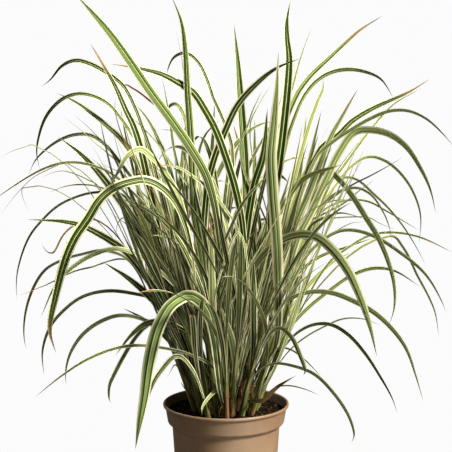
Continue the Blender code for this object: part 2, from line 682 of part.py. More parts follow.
def sway(limit, step):
    """Growing shifts to either side, starting with none."""
    yield 0
    shift = step
    while shift <= limit:
        yield shift
        yield -shift
        shift += step


def wanted_height(stem, pixels):
    """How far up its culm a traced blade should leave it."""
    start = seen_point(pixels[0], stem["foot"].y)
    return (start.z - stem["foot"].z) / stem["axis"].z - 0.02


def misfit(stem, pixels, depth):
    """How badly a stem suits a traced blade: how far its own line passes from the blade's start."""
    height = wanted_height(stem, pixels)
    near = culm_point(stem, min(max(height, 0), 0.3))
    aside = abs(seen_point(pixels[0], near.y).x - near.x)
    behind = abs(near.y - 0.35 * depth)
    below = min(abs(free - height) for free in stem["free"]) if height < stem["height"] else 0
    return aside + 0.5 * behind + 0.5 * below + 0.02 * len(stem["leaves"])


def place_traced(stems, thicket):
    """Roots each traced blade on the stem that suits it best and has a clear way for it."""
    for tip_depth, width, turn, pixels in TRACED.values():
        depth = tip_depth / 1000
        with_room = [stem for stem in stems if stem["free"]]
        choices = sorted(with_room, key=lambda stem: misfit(stem, pixels, depth))[:STEM_CHOICES]
        tries = [(stem, shift) for stem in choices for shift in sway(DEPTH_SHIFT, DEPTH_STEP)]
        for stem, shift in tries:
            height = min(stem["free"], key=lambda free: abs(free - wanted_height(stem, pixels)))
            leaf = {"line": traced_line(stem, height, depth + shift, pixels),
                    "width": width / 1000, "turn": turn, "segments": TRACED_SEGMENTS}
            while folds(*blade_mesh(leaf)) and leaf["width"] > NARROWEST:
                leaf["width"] *= NARROWING
            if plant(stems.index(stem), stem, height, leaf, thicket):
                break


def shown_places(stems):
    """Places along the blades read from the picture, each with the pixel at which it is seen."""
    lines = [leaf["line"] for stem in stems for leaf in stem["leaves"]]
    return [(pixel_of(place), place) for line in lines for place in spread(line, SHOWN_PLACES)[2:]]


def hidden_places(points, faces, shown):
    """How many of the shown places a blade stands in front of."""
    tree = BVHTree.FromPolygons(points, faces)
    across, down = zip(*[pixel_of(point) for point in points])
    hidden = 0
    for pixel, place in shown:
        if min(across) < pixel[0] < max(across) and min(down) < pixel[1] < max(down):
            way = place - EYE
            if tree.ray_cast(EYE, way.normalized(), way.length - SHOWN_MARGIN)[0]:
                hidden += 1
    return hidden


def plant(owner, stem, height, leaf, thicket):
    """Adds the blade to its stem if it is clear of itself and of what stands."""
    if folds(*blade_mesh(leaf)) or thicket.touches(owner, *blade_mesh(leaf, CLEAR)):
        return False
    thicket.add(owner, "blade", *blade_mesh(leaf))
    stem["free"].remove(height)
    stem["leaves"].append(leaf)
    return True


def grown_shape(stem, height, draw):
    """Draws a rule-made blade's heading, length and tip angle, and how late it bends."""
    if draw.random() < UPRIGHT_SHARE or height < LOW_LEAF:
        heading = math.atan2(stem["outward"].y, stem["outward"].x) + draw.uniform(-1.2, 1.2)
        return heading, draw.uniform(0.24, 0.46), math.radians(draw.uniform(12, 45)), 1.3
    forward = stem["outward"].y + draw.uniform(-0.4, 0.9) < 0
    heading = math.radians((-90 if forward else 90) + draw.uniform(-45, 45))
    length = draw.uniform(0.26, 0.40) if forward else draw.uniform(0.30, 0.48)
    tip_angle = math.radians(draw.uniform(45, 90) if forward else draw.uniform(80, 150))
    return heading, length, tip_angle, draw.uniform(1.3, 2.4)


def in_clump(line):
    """Whether a blade stays in the dense middle, as wide as the picture shows it at each height."""
    for point in line:
        height = point.z - SOIL_Z
        if abs(point.x) > CLUMP_FOOT + CLUMP_SPREAD * height or height > CLUMP_TOP:
            return False
    return abs(line[-1].y) < CLUMP_REACH


def place_grown(stems, thicket):
    """Fills the places left on each culm with upright blades and ones that arch front and back."""
    draw = random.Random(GROWN_SEED)
    shown = shown_places(stems)
    for owner, stem in enumerate(stems):
        for height in list(stem["free"]):
            for attempt in range(GROWN_TRIES):
                heading, length, tip_angle, curl = grown_shape(stem, height, draw)
                line = grown_line(stem, height, heading, length, tip_angle, curl)
                twist = math.radians(draw.uniform(-GROWN_TWIST, GROWN_TWIST))
                leaf = {"line": line, "width": draw.uniform(*GROWN_WIDTHS), "turn": None,
                        "heading": heading, "twist": twist, "segments": GROWN_SEGMENTS}
                if not in_clump(line) or hidden_places(*blade_mesh(leaf), shown) > 1 + attempt // PATIENCE:
                    continue
                if plant(owner, stem, height, leaf, thicket):
                    break


def make_stem(number, stem, finish):
    """Fuses a stem's culm and blades, a hair thicker at each try, until the solid comes out sound."""
    name = f"leafy_stem_{number + 1:02d}"
    for attempt in range(JOIN_TRIES):
        solid = add_object(name, mesh_of(name, *culm_mesh(stem)), finish)
        join_blades(solid, stem["leaves"], attempt // 2 * JOIN_NUDGE, ("BEAUTY", "EAR_CLIP")[attempt % 2])
        if is_sound(solid.data) or attempt == JOIN_TRIES - 1:
            break
        bpy.data.objects.remove(solid)


def join_blades(solid, leaves, grow, split):
    blades = bpy.data.collections.new("blades")
    bpy.context.scene.collection.children.link(blades)
    for leaf in leaves:
        mesh = mesh_of("blade", *blade_mesh(leaf, grow))
        blades.objects.link(bpy.data.objects.new("blade", mesh))
    join = solid.modifiers.new("Join", "BOOLEAN")
    join.operation = "UNION"
    join.operand_type = "COLLECTION"
    join.solver = "MANIFOLD"
    join.collection = blades
    apply_modifiers(solid)
    for blade in list(blades.objects):
        bpy.data.objects.remove(blade)
    bpy.data.collections.remove(blades)
    keep_main_body(solid.data, split)


def is_sound(mesh):
    """Whether the mesh is closed and no triangle of it crosses another."""
    shape = bmesh.new()
    shape.from_mesh(mesh)
    closed = all(edge.is_manifold for edge in shape.edges)
    points = [vertex.co.copy() for vertex in shape.verts]
    shape.verts.index_update()
    faces = [tuple(vertex.index for vertex in face.verts) for face in shape.faces]
    shape.free()
    return closed and not folds(points, faces)


def folds(points, faces):
    """Whether triangles that share no corner cross."""
    tree = BVHTree.FromPolygons(points, faces)
    return any(not set(faces[a]) & set(faces[b]) for a, b in tree.overlap(tree) if a < b)


def keep_main_body(mesh, split):
    """Drops loose scraps and the walls of sealed hollows, which fills them.

    What is left is split into triangles, without the flaps that have no thickness.
    """
    shape = bmesh.new()
    shape.from_mesh(mesh)
    left = set(shape.verts)
    bodies = []
    while left:
        body = [left.pop()]
        for vertex in body:
            found = [edge.other_vert(vertex) for edge in vertex.link_edges]
            fresh = [other for other in found if other in left]
            left.difference_update(fresh)
            body.extend(fresh)
        bodies.append(body)
    bodies.sort(key=len)
    for body in bodies[:-1]:
        bmesh.ops.delete(shape, geom=body, context="VERTS")
    bmesh.ops.triangulate(shape, faces=shape.faces, ngon_method=split)
    twins = {}
    for face in shape.faces:
        twins.setdefault(frozenset(face.verts), []).append(face)
    flaps = [face for faces in twins.values() if len(faces) > 1 for face in faces]
    bmesh.ops.delete(shape, geom=flaps, context="FACES")
    shape.to_mesh(mesh)
    shape.free()


for old in list(bpy.data.objects):
    bpy.data.objects.remove(old)

stems = stem_table()
pot = make_pot(material("taupe plastic", (0.31, 0.20, 0.13), 0.45))
soil = make_soil(material("dark peat", (0.018, 0.011, 0.007), 0.95), stems)

thicket = Thicket()
for solid in (pot, soil):
    points = [vertex.co.copy() for vertex in solid.data.vertices]
    thicket.add(None, solid.name, points, [tuple(face.vertices) for face in solid.data.polygons])
for owner, stem in enumerate(stems):
    thicket.add(owner, "culm", *culm_mesh(stem))
place_traced(stems, thicket)
place_grown(stems, thicket)

leaf_green = material("striped leaf", (0.16, 0.28, 0.08), 0.5)
for number, stem in enumerate(stems):
    make_stem(number, stem, leaf_green)
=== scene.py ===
"""The potted Chinese silver grass in its finishes: moulded pot, crumbly peat and striped leafy stems.

Lengths are in metres and +Z is up. Each piece stands where its solid in the frame does.
"""

import math
import random

import bmesh
import bpy
from mathutils import Matrix, Vector
from mathutils.bvhtree import BVHTree
from mathutils.noise import noise, noise_vector


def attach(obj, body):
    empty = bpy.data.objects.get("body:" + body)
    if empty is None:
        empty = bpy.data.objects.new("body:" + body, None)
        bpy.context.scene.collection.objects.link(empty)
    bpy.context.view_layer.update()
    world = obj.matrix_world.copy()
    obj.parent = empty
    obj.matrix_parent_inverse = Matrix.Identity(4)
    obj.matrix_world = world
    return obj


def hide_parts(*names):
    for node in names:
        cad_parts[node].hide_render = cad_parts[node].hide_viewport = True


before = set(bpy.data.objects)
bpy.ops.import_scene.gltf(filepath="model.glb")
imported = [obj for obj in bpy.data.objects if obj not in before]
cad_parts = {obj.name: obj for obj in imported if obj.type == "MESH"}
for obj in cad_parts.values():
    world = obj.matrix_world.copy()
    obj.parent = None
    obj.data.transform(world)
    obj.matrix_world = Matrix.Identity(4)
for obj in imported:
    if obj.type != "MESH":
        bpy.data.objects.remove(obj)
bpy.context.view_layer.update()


# Nursery pot. A thin-walled pot of injection-moulded taupe polypropylene, with a stepped band for the
# fingers and a rolled lip. One profile is turned, its corners are eased and its drain holes are cut.
POT_HEIGHT = 0.150
LIP_RADIUS = 0.095
LIP_HEIGHT = 0.0050
BAND_TOP_RADIUS = 0.0915
BAND_FOOT_RADIUS = 0.0875
BAND_FOOT_Z = 0.1210
SHOULDER_Z = 0.1165
BODY_TOP_RADIUS = 0.0810
BASE_RADIUS = 0.0735
BASE_CHAMFER = 0.0015
POT_WALL = 0.0014
POT_FLOOR = 0.0020
DRAIN_HOLES = 6
DRAIN_HOLE_RADIUS = 0.0045
DRAIN_HOLE_SIDES = 32
DRAIN_RING_RADIUS = 0.056
POT_STEPS = 144
CREASE_ANGLE = math.radians(40)
TAUPE = (0.262, 0.172, 0.104)
TAUPE_PALE = (0.325, 0.222, 0.140)
TAUPE_DEEP = (0.225, 0.140, 0.078)

# How far in and how far down from the lip's widest and highest each point of its round lies
LIP_ROUND = ((0.0008, 0.0046), (0, 0.0025), (0.0008, 0.0005), (0.0022, 0), (0.0042, 0.0008))

# How much each corner of the pot's profile is eased, from the middle of its base round to its floor
POT_EASES = (0.001, 0.001, 0.003, 0.0022, 0.0006, 0.0004, 0.0012, 0.0008, 0.001, 0.001, 0.0008, 0.002,
             0.002, 0.001)


class Value:
    """A shader value. A sum on it adds its Math node to its finish."""

    def __init__(self, finish, socket):
        self.finish = finish
        self.socket = socket

    def other(self, output):
        """Another output of the node that gives this value."""
        return Value(self.finish, self.socket.node.outputs[output])

    def maths(self, operation, first, second):
        return self.finish.node("ShaderNodeMath", {"operation": operation}, {0: first, 1: second})

    def __add__(self, other):
        return self.maths("ADD", self, other)

    def __sub__(self, other):
        return self.maths("SUBTRACT", self, other)

    def __rsub__(self, other):
        return self.maths("SUBTRACT", other, self)

    def __mul__(self, other):
        return self.maths("MULTIPLY", self, other)

    def __abs__(self):
        return self.maths("ABSOLUTE", self, 0)

    __radd__ = __add__
    __rmul__ = __mul__


class Finish:
    """A material on one Principled shader, whose nodes are written as expressions."""

    def __init__(self, name, **fixed):
        self.material = bpy.data.materials.new(name)
        self.material.use_nodes = True
        self.tree = self.material.node_tree
        self.shader = self.tree.nodes["Principled BSDF"]
        self.feed(self.shader, {key.replace("_", " "): value for key, value in fixed.items()})

    def node(self, kind, settings=None, inputs=None, output=0):
        """Any node: its settings first, then the values or links of its sockets."""
        made = self.tree.nodes.new(kind)
        for key, value in (settings or {}).items():
            setattr(made, key, value)
        self.feed(made, inputs or {})
        return Value(self, made.outputs[output])

    def feed(self, made, inputs):
        """Gives the sockets of a node their values or links."""
        for key, value in inputs.items():
            if isinstance(value, Value):
                self.tree.links.new(value.socket, made.inputs[key])
            else:
                made.inputs[key].default_value = value

    def place(self):
        """Where a point of the piece lies, in metres."""
        return self.node("ShaderNodeTexCoord", {}, {}, "Object")

    def noise(self, place, scale, detail):
        """A cloudy pattern from 0 to 1. Three scales stretch it along each axis."""
        if isinstance(scale, tuple):
            place = self.node("ShaderNodeMapping", {}, {"Vector": place, "Scale": scale})
            scale = 1.0
        inputs = {"Vector": place, "Scale": scale, "Detail": detail}
        return self.node("ShaderNodeTexNoise", {}, inputs, "Fac")

    def step(self, value, low, high):
        """0 below low, 1 above high, eased between them."""
        inputs = {"Value": value, "From Min": low, "From Max": high}
        return self.node("ShaderNodeMapRange", {"interpolation_type": "SMOOTHSTEP"}, inputs, "Result")

    def mix(self, share, first, second):
        """A colour that goes from first to second with share."""
        pair = [(*colour, 1) if isinstance(colour, tuple) else colour for colour in (first, second)]
        return self.node("ShaderNodeMix", {"data_type": "RGBA"}, {0: share, 6: pair[0], 7: pair[1]}, 2)

    def layered(self, ground, *layers):
        """The ground colour with each layer, its share and its colour, laid over it in turn."""
        for share, colour in layers:
            ground = self.mix(share, ground, colour)
        return ground

    def relief(self, height, depth):
        """Raises the surface by up to depth, where height is 1."""
        self.feed(self.shader, {
            "Normal": self.node("ShaderNodeBump", {}, {"Height": height, "Distance": depth})})


def piece_of(name, shape, *finishes):
    """Makes the shaped mesh a smooth-shaded piece with its finishes."""
    mesh = bpy.data.meshes.new(name)
    shape.to_mesh(mesh)
    shape.free()
    mesh.shade_smooth()
    made = bpy.data.objects.new(name, mesh)
    for finish in finishes:
        mesh.materials.append(finish.material)
    bpy.context.scene.collection.objects.link(made)
    return made


def turned(profile, steps):
    """A shape turned about Z from (radius, height) points, closed if they begin and end on Z."""
    shape = bmesh.new()
    chain = [shape.verts.new((radius, 0, height)) for radius, height in profile]
    edges = [shape.edges.new(pair) for pair in zip(chain, chain[1:])]
    bmesh.ops.spin(shape, geom=chain + edges, cent=(0, 0, 0), axis=(0, 0, 1), angle=math.tau,
                   steps=steps, use_merge=True)
    bmesh.ops.remove_doubles(shape, verts=shape.verts, dist=1e-6)
    bmesh.ops.recalc_face_normals(shape, faces=shape.faces)
    return shape


def wall_line(inset):
    """The pot's side from its floor to just under its lip, moved in by inset."""
    return [
        (BASE_RADIUS - inset, BASE_CHAMFER),
        (BODY_TOP_RADIUS - inset, SHOULDER_Z),
        (BAND_FOOT_RADIUS - inset, BAND_FOOT_Z),
        (BAND_TOP_RADIUS - inset, POT_HEIGHT - LIP_HEIGHT),
    ]


def eased(corners, eases):
    """The line through the corners, each rounded off over its own distance."""
    line = [corners[0]]
    for before, here, after, ease in zip(corners, corners[1:], corners[2:], eases):
        before, here, after = Vector(before), Vector(here), Vector(after)
        into = (here - before).normalized() * min(ease, (here - before).length / 2)
        out = (after - here).normalized() * min(ease, (after - here).length / 2)
        for share in (0, 0.25, 0.5, 0.75, 1):
            line.append(tuple((here - into * (1 - share)).lerp(here + out * share, share)))
    return [*line, corners[-1]]


outer_wall = wall_line(0)
inner_wall = wall_line(POT_WALL)
lip_line = [(LIP_RADIUS - inward, POT_HEIGHT - down) for inward, down in LIP_ROUND]
pot_corners = [(0, 0), (BASE_RADIUS - BASE_CHAMFER, 0), *outer_wall, *lip_line, *reversed(inner_wall[1:])]
pot_corners += [(BASE_RADIUS - POT_WALL, POT_FLOOR), (0, POT_FLOOR)]
pot = piece_of("moulded_pot", turned(eased(pot_corners, POT_EASES), POT_STEPS))
drill = bmesh.new()
for hole in range(DRAIN_HOLES):
    turn = Matrix.Rotation(math.tau * (hole + 0.5) / DRAIN_HOLES, 4, "Z")
    place = turn @ Matrix.Translation((DRAIN_RING_RADIUS, 0, POT_FLOOR / 2))
    bmesh.ops.create_cone(drill, cap_ends=True, segments=DRAIN_HOLE_SIDES, radius1=DRAIN_HOLE_RADIUS,
                          radius2=DRAIN_HOLE_RADIUS, depth=4 * POT_FLOOR, matrix=place)
drill = piece_of("drain_drill", drill)
holes = pot.modifiers.new("holes", "BOOLEAN")
holes.operation = "DIFFERENCE"
holes.object = drill
bpy.context.view_layer.update()
pot.data = bpy.data.meshes.new_from_object(pot.evaluated_get(bpy.context.evaluated_depsgraph_get()))
pot.modifiers.clear()
bpy.data.objects.remove(drill)
pot.data.set_sharp_from_angle(angle=CREASE_ANGLE)

taupe = Finish("taupe_polypropylene", Roughness=0.46, IOR=1.49)
at = taupe.place()
cloud = taupe.noise(at, (14, 14, 9), 3.0)
flow = taupe.noise(at, (26, 26, 34), 4.0)
scuff = taupe.noise(at, (160, 160, 420), 4.0)
grain = taupe.noise(at, 900.0, 2.0)
body = taupe.layered(TAUPE_DEEP, (taupe.step(cloud, 0.3, 0.7), TAUPE),
                     (taupe.step(flow, 0.4, 0.8) * 0.3, TAUPE_PALE),
                     (taupe.step(scuff, 0.63, 0.8) * 0.3, TAUPE_PALE))
taupe.feed(taupe.shader, {"Base Color": body, "Roughness": 0.38 + cloud * 0.12 + scuff * 0.08})
taupe.relief(grain + flow * 0.6, 0.00008)
pot.data.materials.clear()
pot.data.materials.append(taupe.material)
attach(pot, "root")
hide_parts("pot")


# Peat. The root ball's near-black top, lumpy and crumbly, with wood fibres and a few reddish bits in it.
# The plug is turned and its top raised by noise. Crumbs and fibres are strewn over it, half sunk.
FIT_GAP = 0.0003
SOIL_Z = 0.1370
SOIL_RINGS = 56
SOIL_STEPS = 168
PLUG_FOOT_GAP = 0.0004
PLUG_SHOULDER_GAP = 0.0002
RIM_EASE = 0.004
CRUMBS = 3200
CRUMB_BATCHES = 16
CRUMB_LEAST = 0.0006
CRUMB_SPREAD = 0.0021
CRUMB_WIDTHS = (0.6, 1)
CRUMB_HEIGHTS = (0.5, 0.9)
CRUMB_DENTS = 0.4
DENTS_PER_METRE = 700
FIBRES = 110
FIBRE_SIDES = 5
FIBRE_LENGTHS = (0.003, 0.013)
FIBRE_THICKNESSES = (0.00018, 0.0005)
FIBRE_TAPER = 0.3
FIBRE_SHADE = 0.4
FIBRE_TILT = 14
FIBRE_SINK = 0.0012
STREWN_GAP = 0.0015
STREWN_RISE = (-0.2, 0.5)
PEAT_SEED = 5
PEAT = (0.0055, 0.0036, 0.0022)
PEAT_DRY = (0.040, 0.025, 0.013)
PEAT_RED = (0.120, 0.050, 0.022)
STRAW = (0.46, 0.33, 0.17)
STRAW_RED = (0.20, 0.085, 0.040)

# The height and size of the peat's lumps, clods and crumbs, and the level at which their noise is read
SOIL_LUMPS = ((0.0022, 0.016, SOIL_Z), (0.0011, 0.0055, 7), (0.0006, 0.0024, 3))

soil_line = wall_line(POT_WALL + FIT_GAP)
under_lip = (SOIL_Z - BAND_FOOT_Z) / (POT_HEIGHT - LIP_HEIGHT - BAND_FOOT_Z)
soil_rim = soil_line[2][0] + (soil_line[3][0] - soil_line[2][0]) * under_lip


def soil_height(x, y):
    """How high the peat's top lies at a place."""
    share = min(1, max(0, (soil_rim - math.hypot(x, y)) / RIM_EASE))
    lumps = sum(rise * noise(Vector((x, y, level)) / size) for rise, size, level in SOIL_LUMPS)
    return SOIL_Z + lumps * share


soil_profile = [(0, POT_FLOOR + FIT_GAP), (soil_line[0][0] - PLUG_FOOT_GAP, POT_FLOOR + FIT_GAP)]
soil_profile += [(soil_line[1][0], SHOULDER_Z + PLUG_SHOULDER_GAP), soil_line[2]]
soil_profile += [(soil_rim * ring / SOIL_RINGS, SOIL_Z) for ring in range(SOIL_RINGS, -1, -1)]
soil_shape = turned(soil_profile, SOIL_STEPS)
for vertex in soil_shape.verts:
    if vertex.co.z > SOIL_Z - 1e-5:
        vertex.co.z = soil_height(vertex.co.x, vertex.co.y)
peat = Finish("moist_peat", Roughness=0.93, Specular_IOR_Level=0.12)
at = peat.place()
crumb = peat.noise(at, 420.0, 4.0)
patch = peat.noise(at, 70.0, 3.0)
bit = peat.node("ShaderNodeTexVoronoi", {}, {"Vector": at, "Scale": 330.0}, "Color")
bit = peat.node("ShaderNodeSeparateColor", {}, {"Color": bit}, "Red")
earth = peat.layered(PEAT, (peat.step(crumb, 0.38, 0.72), PEAT_DRY),
                     (peat.step(patch, 0.55, 0.8) * 0.5, PEAT_DRY),
                     (peat.step(bit, 0.90, 0.95) * 0.8, PEAT_RED))
peat.feed(peat.shader, {"Base Color": earth})
peat.relief(crumb, 0.0012)
fibre_finishes = []


def strewn(draw, size):
    """A place on the peat's top, half sunk for a thing of that size, turned at random about Z."""
    reach = (soil_rim - STREWN_GAP - size) * math.sqrt(draw.random())
    angle = draw.uniform(0, math.tau)
    x, y = reach * math.cos(angle), reach * math.sin(angle)
    z = soil_height(x, y) + size * draw.uniform(*STREWN_RISE)
    return Matrix.Translation((x, y, z)) @ Matrix.Rotation(draw.uniform(0, math.tau), 4, "Z")


def add_heap(heap, index):
    """Adds the heaped pieces to the peat with the finish of that index."""
    for face in heap.faces:
        face.material_index = index
    mesh = bpy.data.meshes.new("heap")
    heap.to_mesh(mesh)
    heap.free()
    soil_shape.from_mesh(mesh)
    bpy.data.meshes.remove(mesh)


draw = random.Random(PEAT_SEED)
for _ in range(CRUMB_BATCHES):
    heap = bmesh.new()
    for number in range(CRUMBS // CRUMB_BATCHES):
        size = CRUMB_LEAST + CRUMB_SPREAD * draw.random() ** 3
        squash = Matrix.Diagonal((1, draw.uniform(*CRUMB_WIDTHS), draw.uniform(*CRUMB_HEIGHTS), 1))
        place = strewn(draw, size) @ squash
        made = bmesh.ops.create_icosphere(heap, subdivisions=1, radius=size, matrix=place)
        for vertex in made["verts"]:
            vertex.co += noise_vector(vertex.co * DENTS_PER_METRE) * size * CRUMB_DENTS
    add_heap(heap, 0)
for index, name, colour in ((1, "straw_fibres", STRAW), (2, "bark_fibres", STRAW_RED)):
    heap = bmesh.new()
    for number in range(FIBRES // index):
        length = draw.uniform(*FIBRE_LENGTHS)
        tilt = Matrix.Rotation(math.radians(90 + draw.uniform(-FIBRE_TILT, FIBRE_TILT)), 4, "Y")
        thickness = draw.uniform(*FIBRE_THICKNESSES)
        bmesh.ops.create_cone(heap, cap_ends=True, segments=FIBRE_SIDES, radius1=thickness,
                              radius2=thickness * FIBRE_TAPER, depth=length,
                              matrix=strewn(draw, FIBRE_SINK) @ tilt)
    add_heap(heap, index)
    fibre = Finish(name, Roughness=0.8)
    shade = fibre.noise(fibre.place(), 260.0, 2.0)
    dark = tuple(FIBRE_SHADE * part for part in colour)
    fibre.feed(fibre.shader, {"Base Color": fibre.mix(shade, dark, colour)})
    fibre_finishes.append(fibre)
soil = piece_of("peat", soil_shape, peat, *fibre_finishes)
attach(soil, "root")
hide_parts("soil")


# The crown. Some forty shoots stand in the peat and lean out the further they stand from its
# middle. Each is a slim culm wrapped in sheaths, with up to six blades that part from it in turn.
STEMS = 44
CROWN_RADIUS = 0.050
GOLDEN_ANGLE = math.radians(137.508)
CULM_SIDES = 5
CULM_FOOT_RADIUS = 0.0037
CULM_TOP_RADIUS = 0.0012
CULM_DEPTH = 0.022
CULM_HEIGHTS = (0.13, 0.25)
STRAIGHT_FOOT = 0.010
OUTER_LEAN = math.radians(20)
LEAN_SPREAD = math.radians(1.5)
CULM_BOW = 0.35
STEM_SEED = 11
LEAVES_PER_STEM = 6
FIRST_LEAF = 0.012
LAST_LEAF = 0.012


def ring_points(centre, axis, radius):
    """The corners of a culm's section, square to its axis."""
    across = axis.cross(Vector((0, 1, 0))).normalized()
    along = axis.cross(across)
    corners = []
    for side in range(CULM_SIDES):
        angle = math.tau * side / CULM_SIDES
        corners.append(centre + radius * (across * math.cos(angle) + along * math.sin(angle)))
    return corners


def stem_table():
    """Where each stem stands in the crown, how it leans and how tall its culm is."""
    draw = random.Random(STEM_SEED)
    stems = []
    for number in range(STEMS):
        radius = CROWN_RADIUS * math.sqrt((number + 0.5) / STEMS)
        angle = number * GOLDEN_ANGLE
        outward = Vector((math.cos(angle), math.sin(angle), 0))
        foot = outward * radius + Vector((0, 0, SOIL_Z))
        lean = OUTER_LEAN * (radius / CROWN_RADIUS) + draw.uniform(-LEAN_SPREAD, LEAN_SPREAD)
        axis = (outward * math.sin(lean) + Vector((0, 0, 1)) * math.cos(lean)).normalized()
        height = draw.uniform(*CULM_HEIGHTS)
        step = (height - FIRST_LEAF - LAST_LEAF) / (LEAVES_PER_STEM - 1)
        free = [FIRST_LEAF + step * place for place in range(LEAVES_PER_STEM)]
        stems.append({"foot": foot, "axis": axis, "outward": outward * (radius / CROWN_RADIUS),
                      "height": height, "free": free, "leaves": []})
    return stems


def culm_point(stem, height):
    """The culm's centre line: straight through the peat, then bowing outwards."""
    bow = CULM_BOW * max(height, 0) ** 2
    return stem["foot"] + stem["axis"] * height + stem["outward"] * bow


def culm_direction(stem, height):
    """Which way the culm runs there."""
    step = 0.002
    return (culm_point(stem, height + step) - culm_point(stem, height)).normalized()


def culm_mesh(stem):
    """A tapering culm from its buried foot to its top, as points and faces."""
    heights = (-CULM_DEPTH, STRAIGHT_FOOT, 0.5 * stem["height"], stem["height"])
    points, faces = [], []
    for height in heights:
        share = max(height, 0) / stem["height"]
        radius = CULM_FOOT_RADIUS + (CULM_TOP_RADIUS - CULM_FOOT_RADIUS) * share
        axis = stem["axis"] if height <= STRAIGHT_FOOT else culm_direction(stem, height)
        points += ring_points(culm_point(stem, height), axis, radius)
    for level in range(len(heights) - 1):
        for side in range(CULM_SIDES):
            here = level * CULM_SIDES + side
            after = level * CULM_SIDES + (side + 1) % CULM_SIDES
            faces.append((here, after, after + CULM_SIDES, here + CULM_SIDES))
    faces.append(tuple(range(CULM_SIDES - 1, -1, -1)))
    faces.append(tuple(range(len(points) - CULM_SIDES, len(points))))
    return points, faces


# The blades' lines. The ones that show most follow a line that is read one point per bend, and the rest are
# grown by rule. One that would cross another shoot is moved or drawn again until it is clear.
BLADE_THICKNESS = 0.0009
TIP_THINNING = 0.3
PARTING_ANGLE = math.radians(16)
PARTING_PACE = 2.5
ROOT_WIDTH = 0.3
ROOT_SHARE = 0.35
ROOT_FLARE = 0.8
TIP_SHARE = 0.6
TIP_TAPER = 2.2
BEND_WEIGHT = 0.07
NARROWING = 0.9
NARROWEST = 0.004
CLEAR = 0.0006

# Values of the blades read from the picture
TRACED_SEGMENTS = 8
CURVE_STEPS = 8
PIXEL_SIZE = 0.0015
SIDEWAYS_REACH = 80
SIDEWAYS_SHARE = 0.7
STEM_CHOICES = 10
ROOT_DROP = 0.02
ROOT_ROOM = 0.02
ROOT_RISE = 0.008
HIGHEST_ROOT = 0.3
ROOT_DEPTH = 0.35
DEPTH_WEIGHT = 0.5
HEIGHT_WEIGHT = 0.5
CROWDING = 0.02
DEPTH_CURVE = 1.5
FRONT_DEPTH = -0.120
FRONT_BOW = 0.032
DEPTH_SHIFT = 0.063
DEPTH_STEP = 0.009

# Values of the blades grown by rule. Some rise with their culm and the rest arch to the front or back
GROWN_SEED = 30
GROWN_SEGMENTS = 6
GROWN_STEPS = 40
GROWN_TRIES = 60
GROWN_WIDTHS = (0.007, 0.012)
GROWN_TWIST = 45
UPRIGHT_SHARE = 0.55
UPRIGHT_FAN = 1.2
UPRIGHT_LENGTHS = (0.24, 0.46)
UPRIGHT_TIPS = (12, 45)
UPRIGHT_CURL = 1.3
FRONT_LEANING = (-0.4, 0.9)
ARCHED_FAN = 45
ARCHED_LENGTHS = {"front": (0.26, 0.40), "back": (0.30, 0.48)}
ARCHED_TIPS = {"front": (45, 90), "back": (80, 150)}
ARCHED_CURLS = (1.3, 2.4)
LOW_LEAF = 0.05
SHOWN_PLACES = 16
SHOWN_MARGIN = 0.003
PATIENCE = 15
CLUMP_FOOT = 0.055
CLUMP_SPREAD = 0.34
CLUMP_TOP = 0.46
CLUMP_REACH = 0.33

# The eye that saw the picture: its place, how far and which way it looks, and its focal length in pixels
EYE = Vector((0, -2.2, 0.739))
EYE_PITCH = math.radians(8.3)
EYE_AHEAD = Vector((0, math.cos(EYE_PITCH), -math.sin(EYE_PITCH)))
EYE_UP = Vector((0, math.sin(EYE_PITCH), math.cos(EYE_PITCH)))
EYE_FOCAL = 1500
PICTURE_MIDDLE = 226

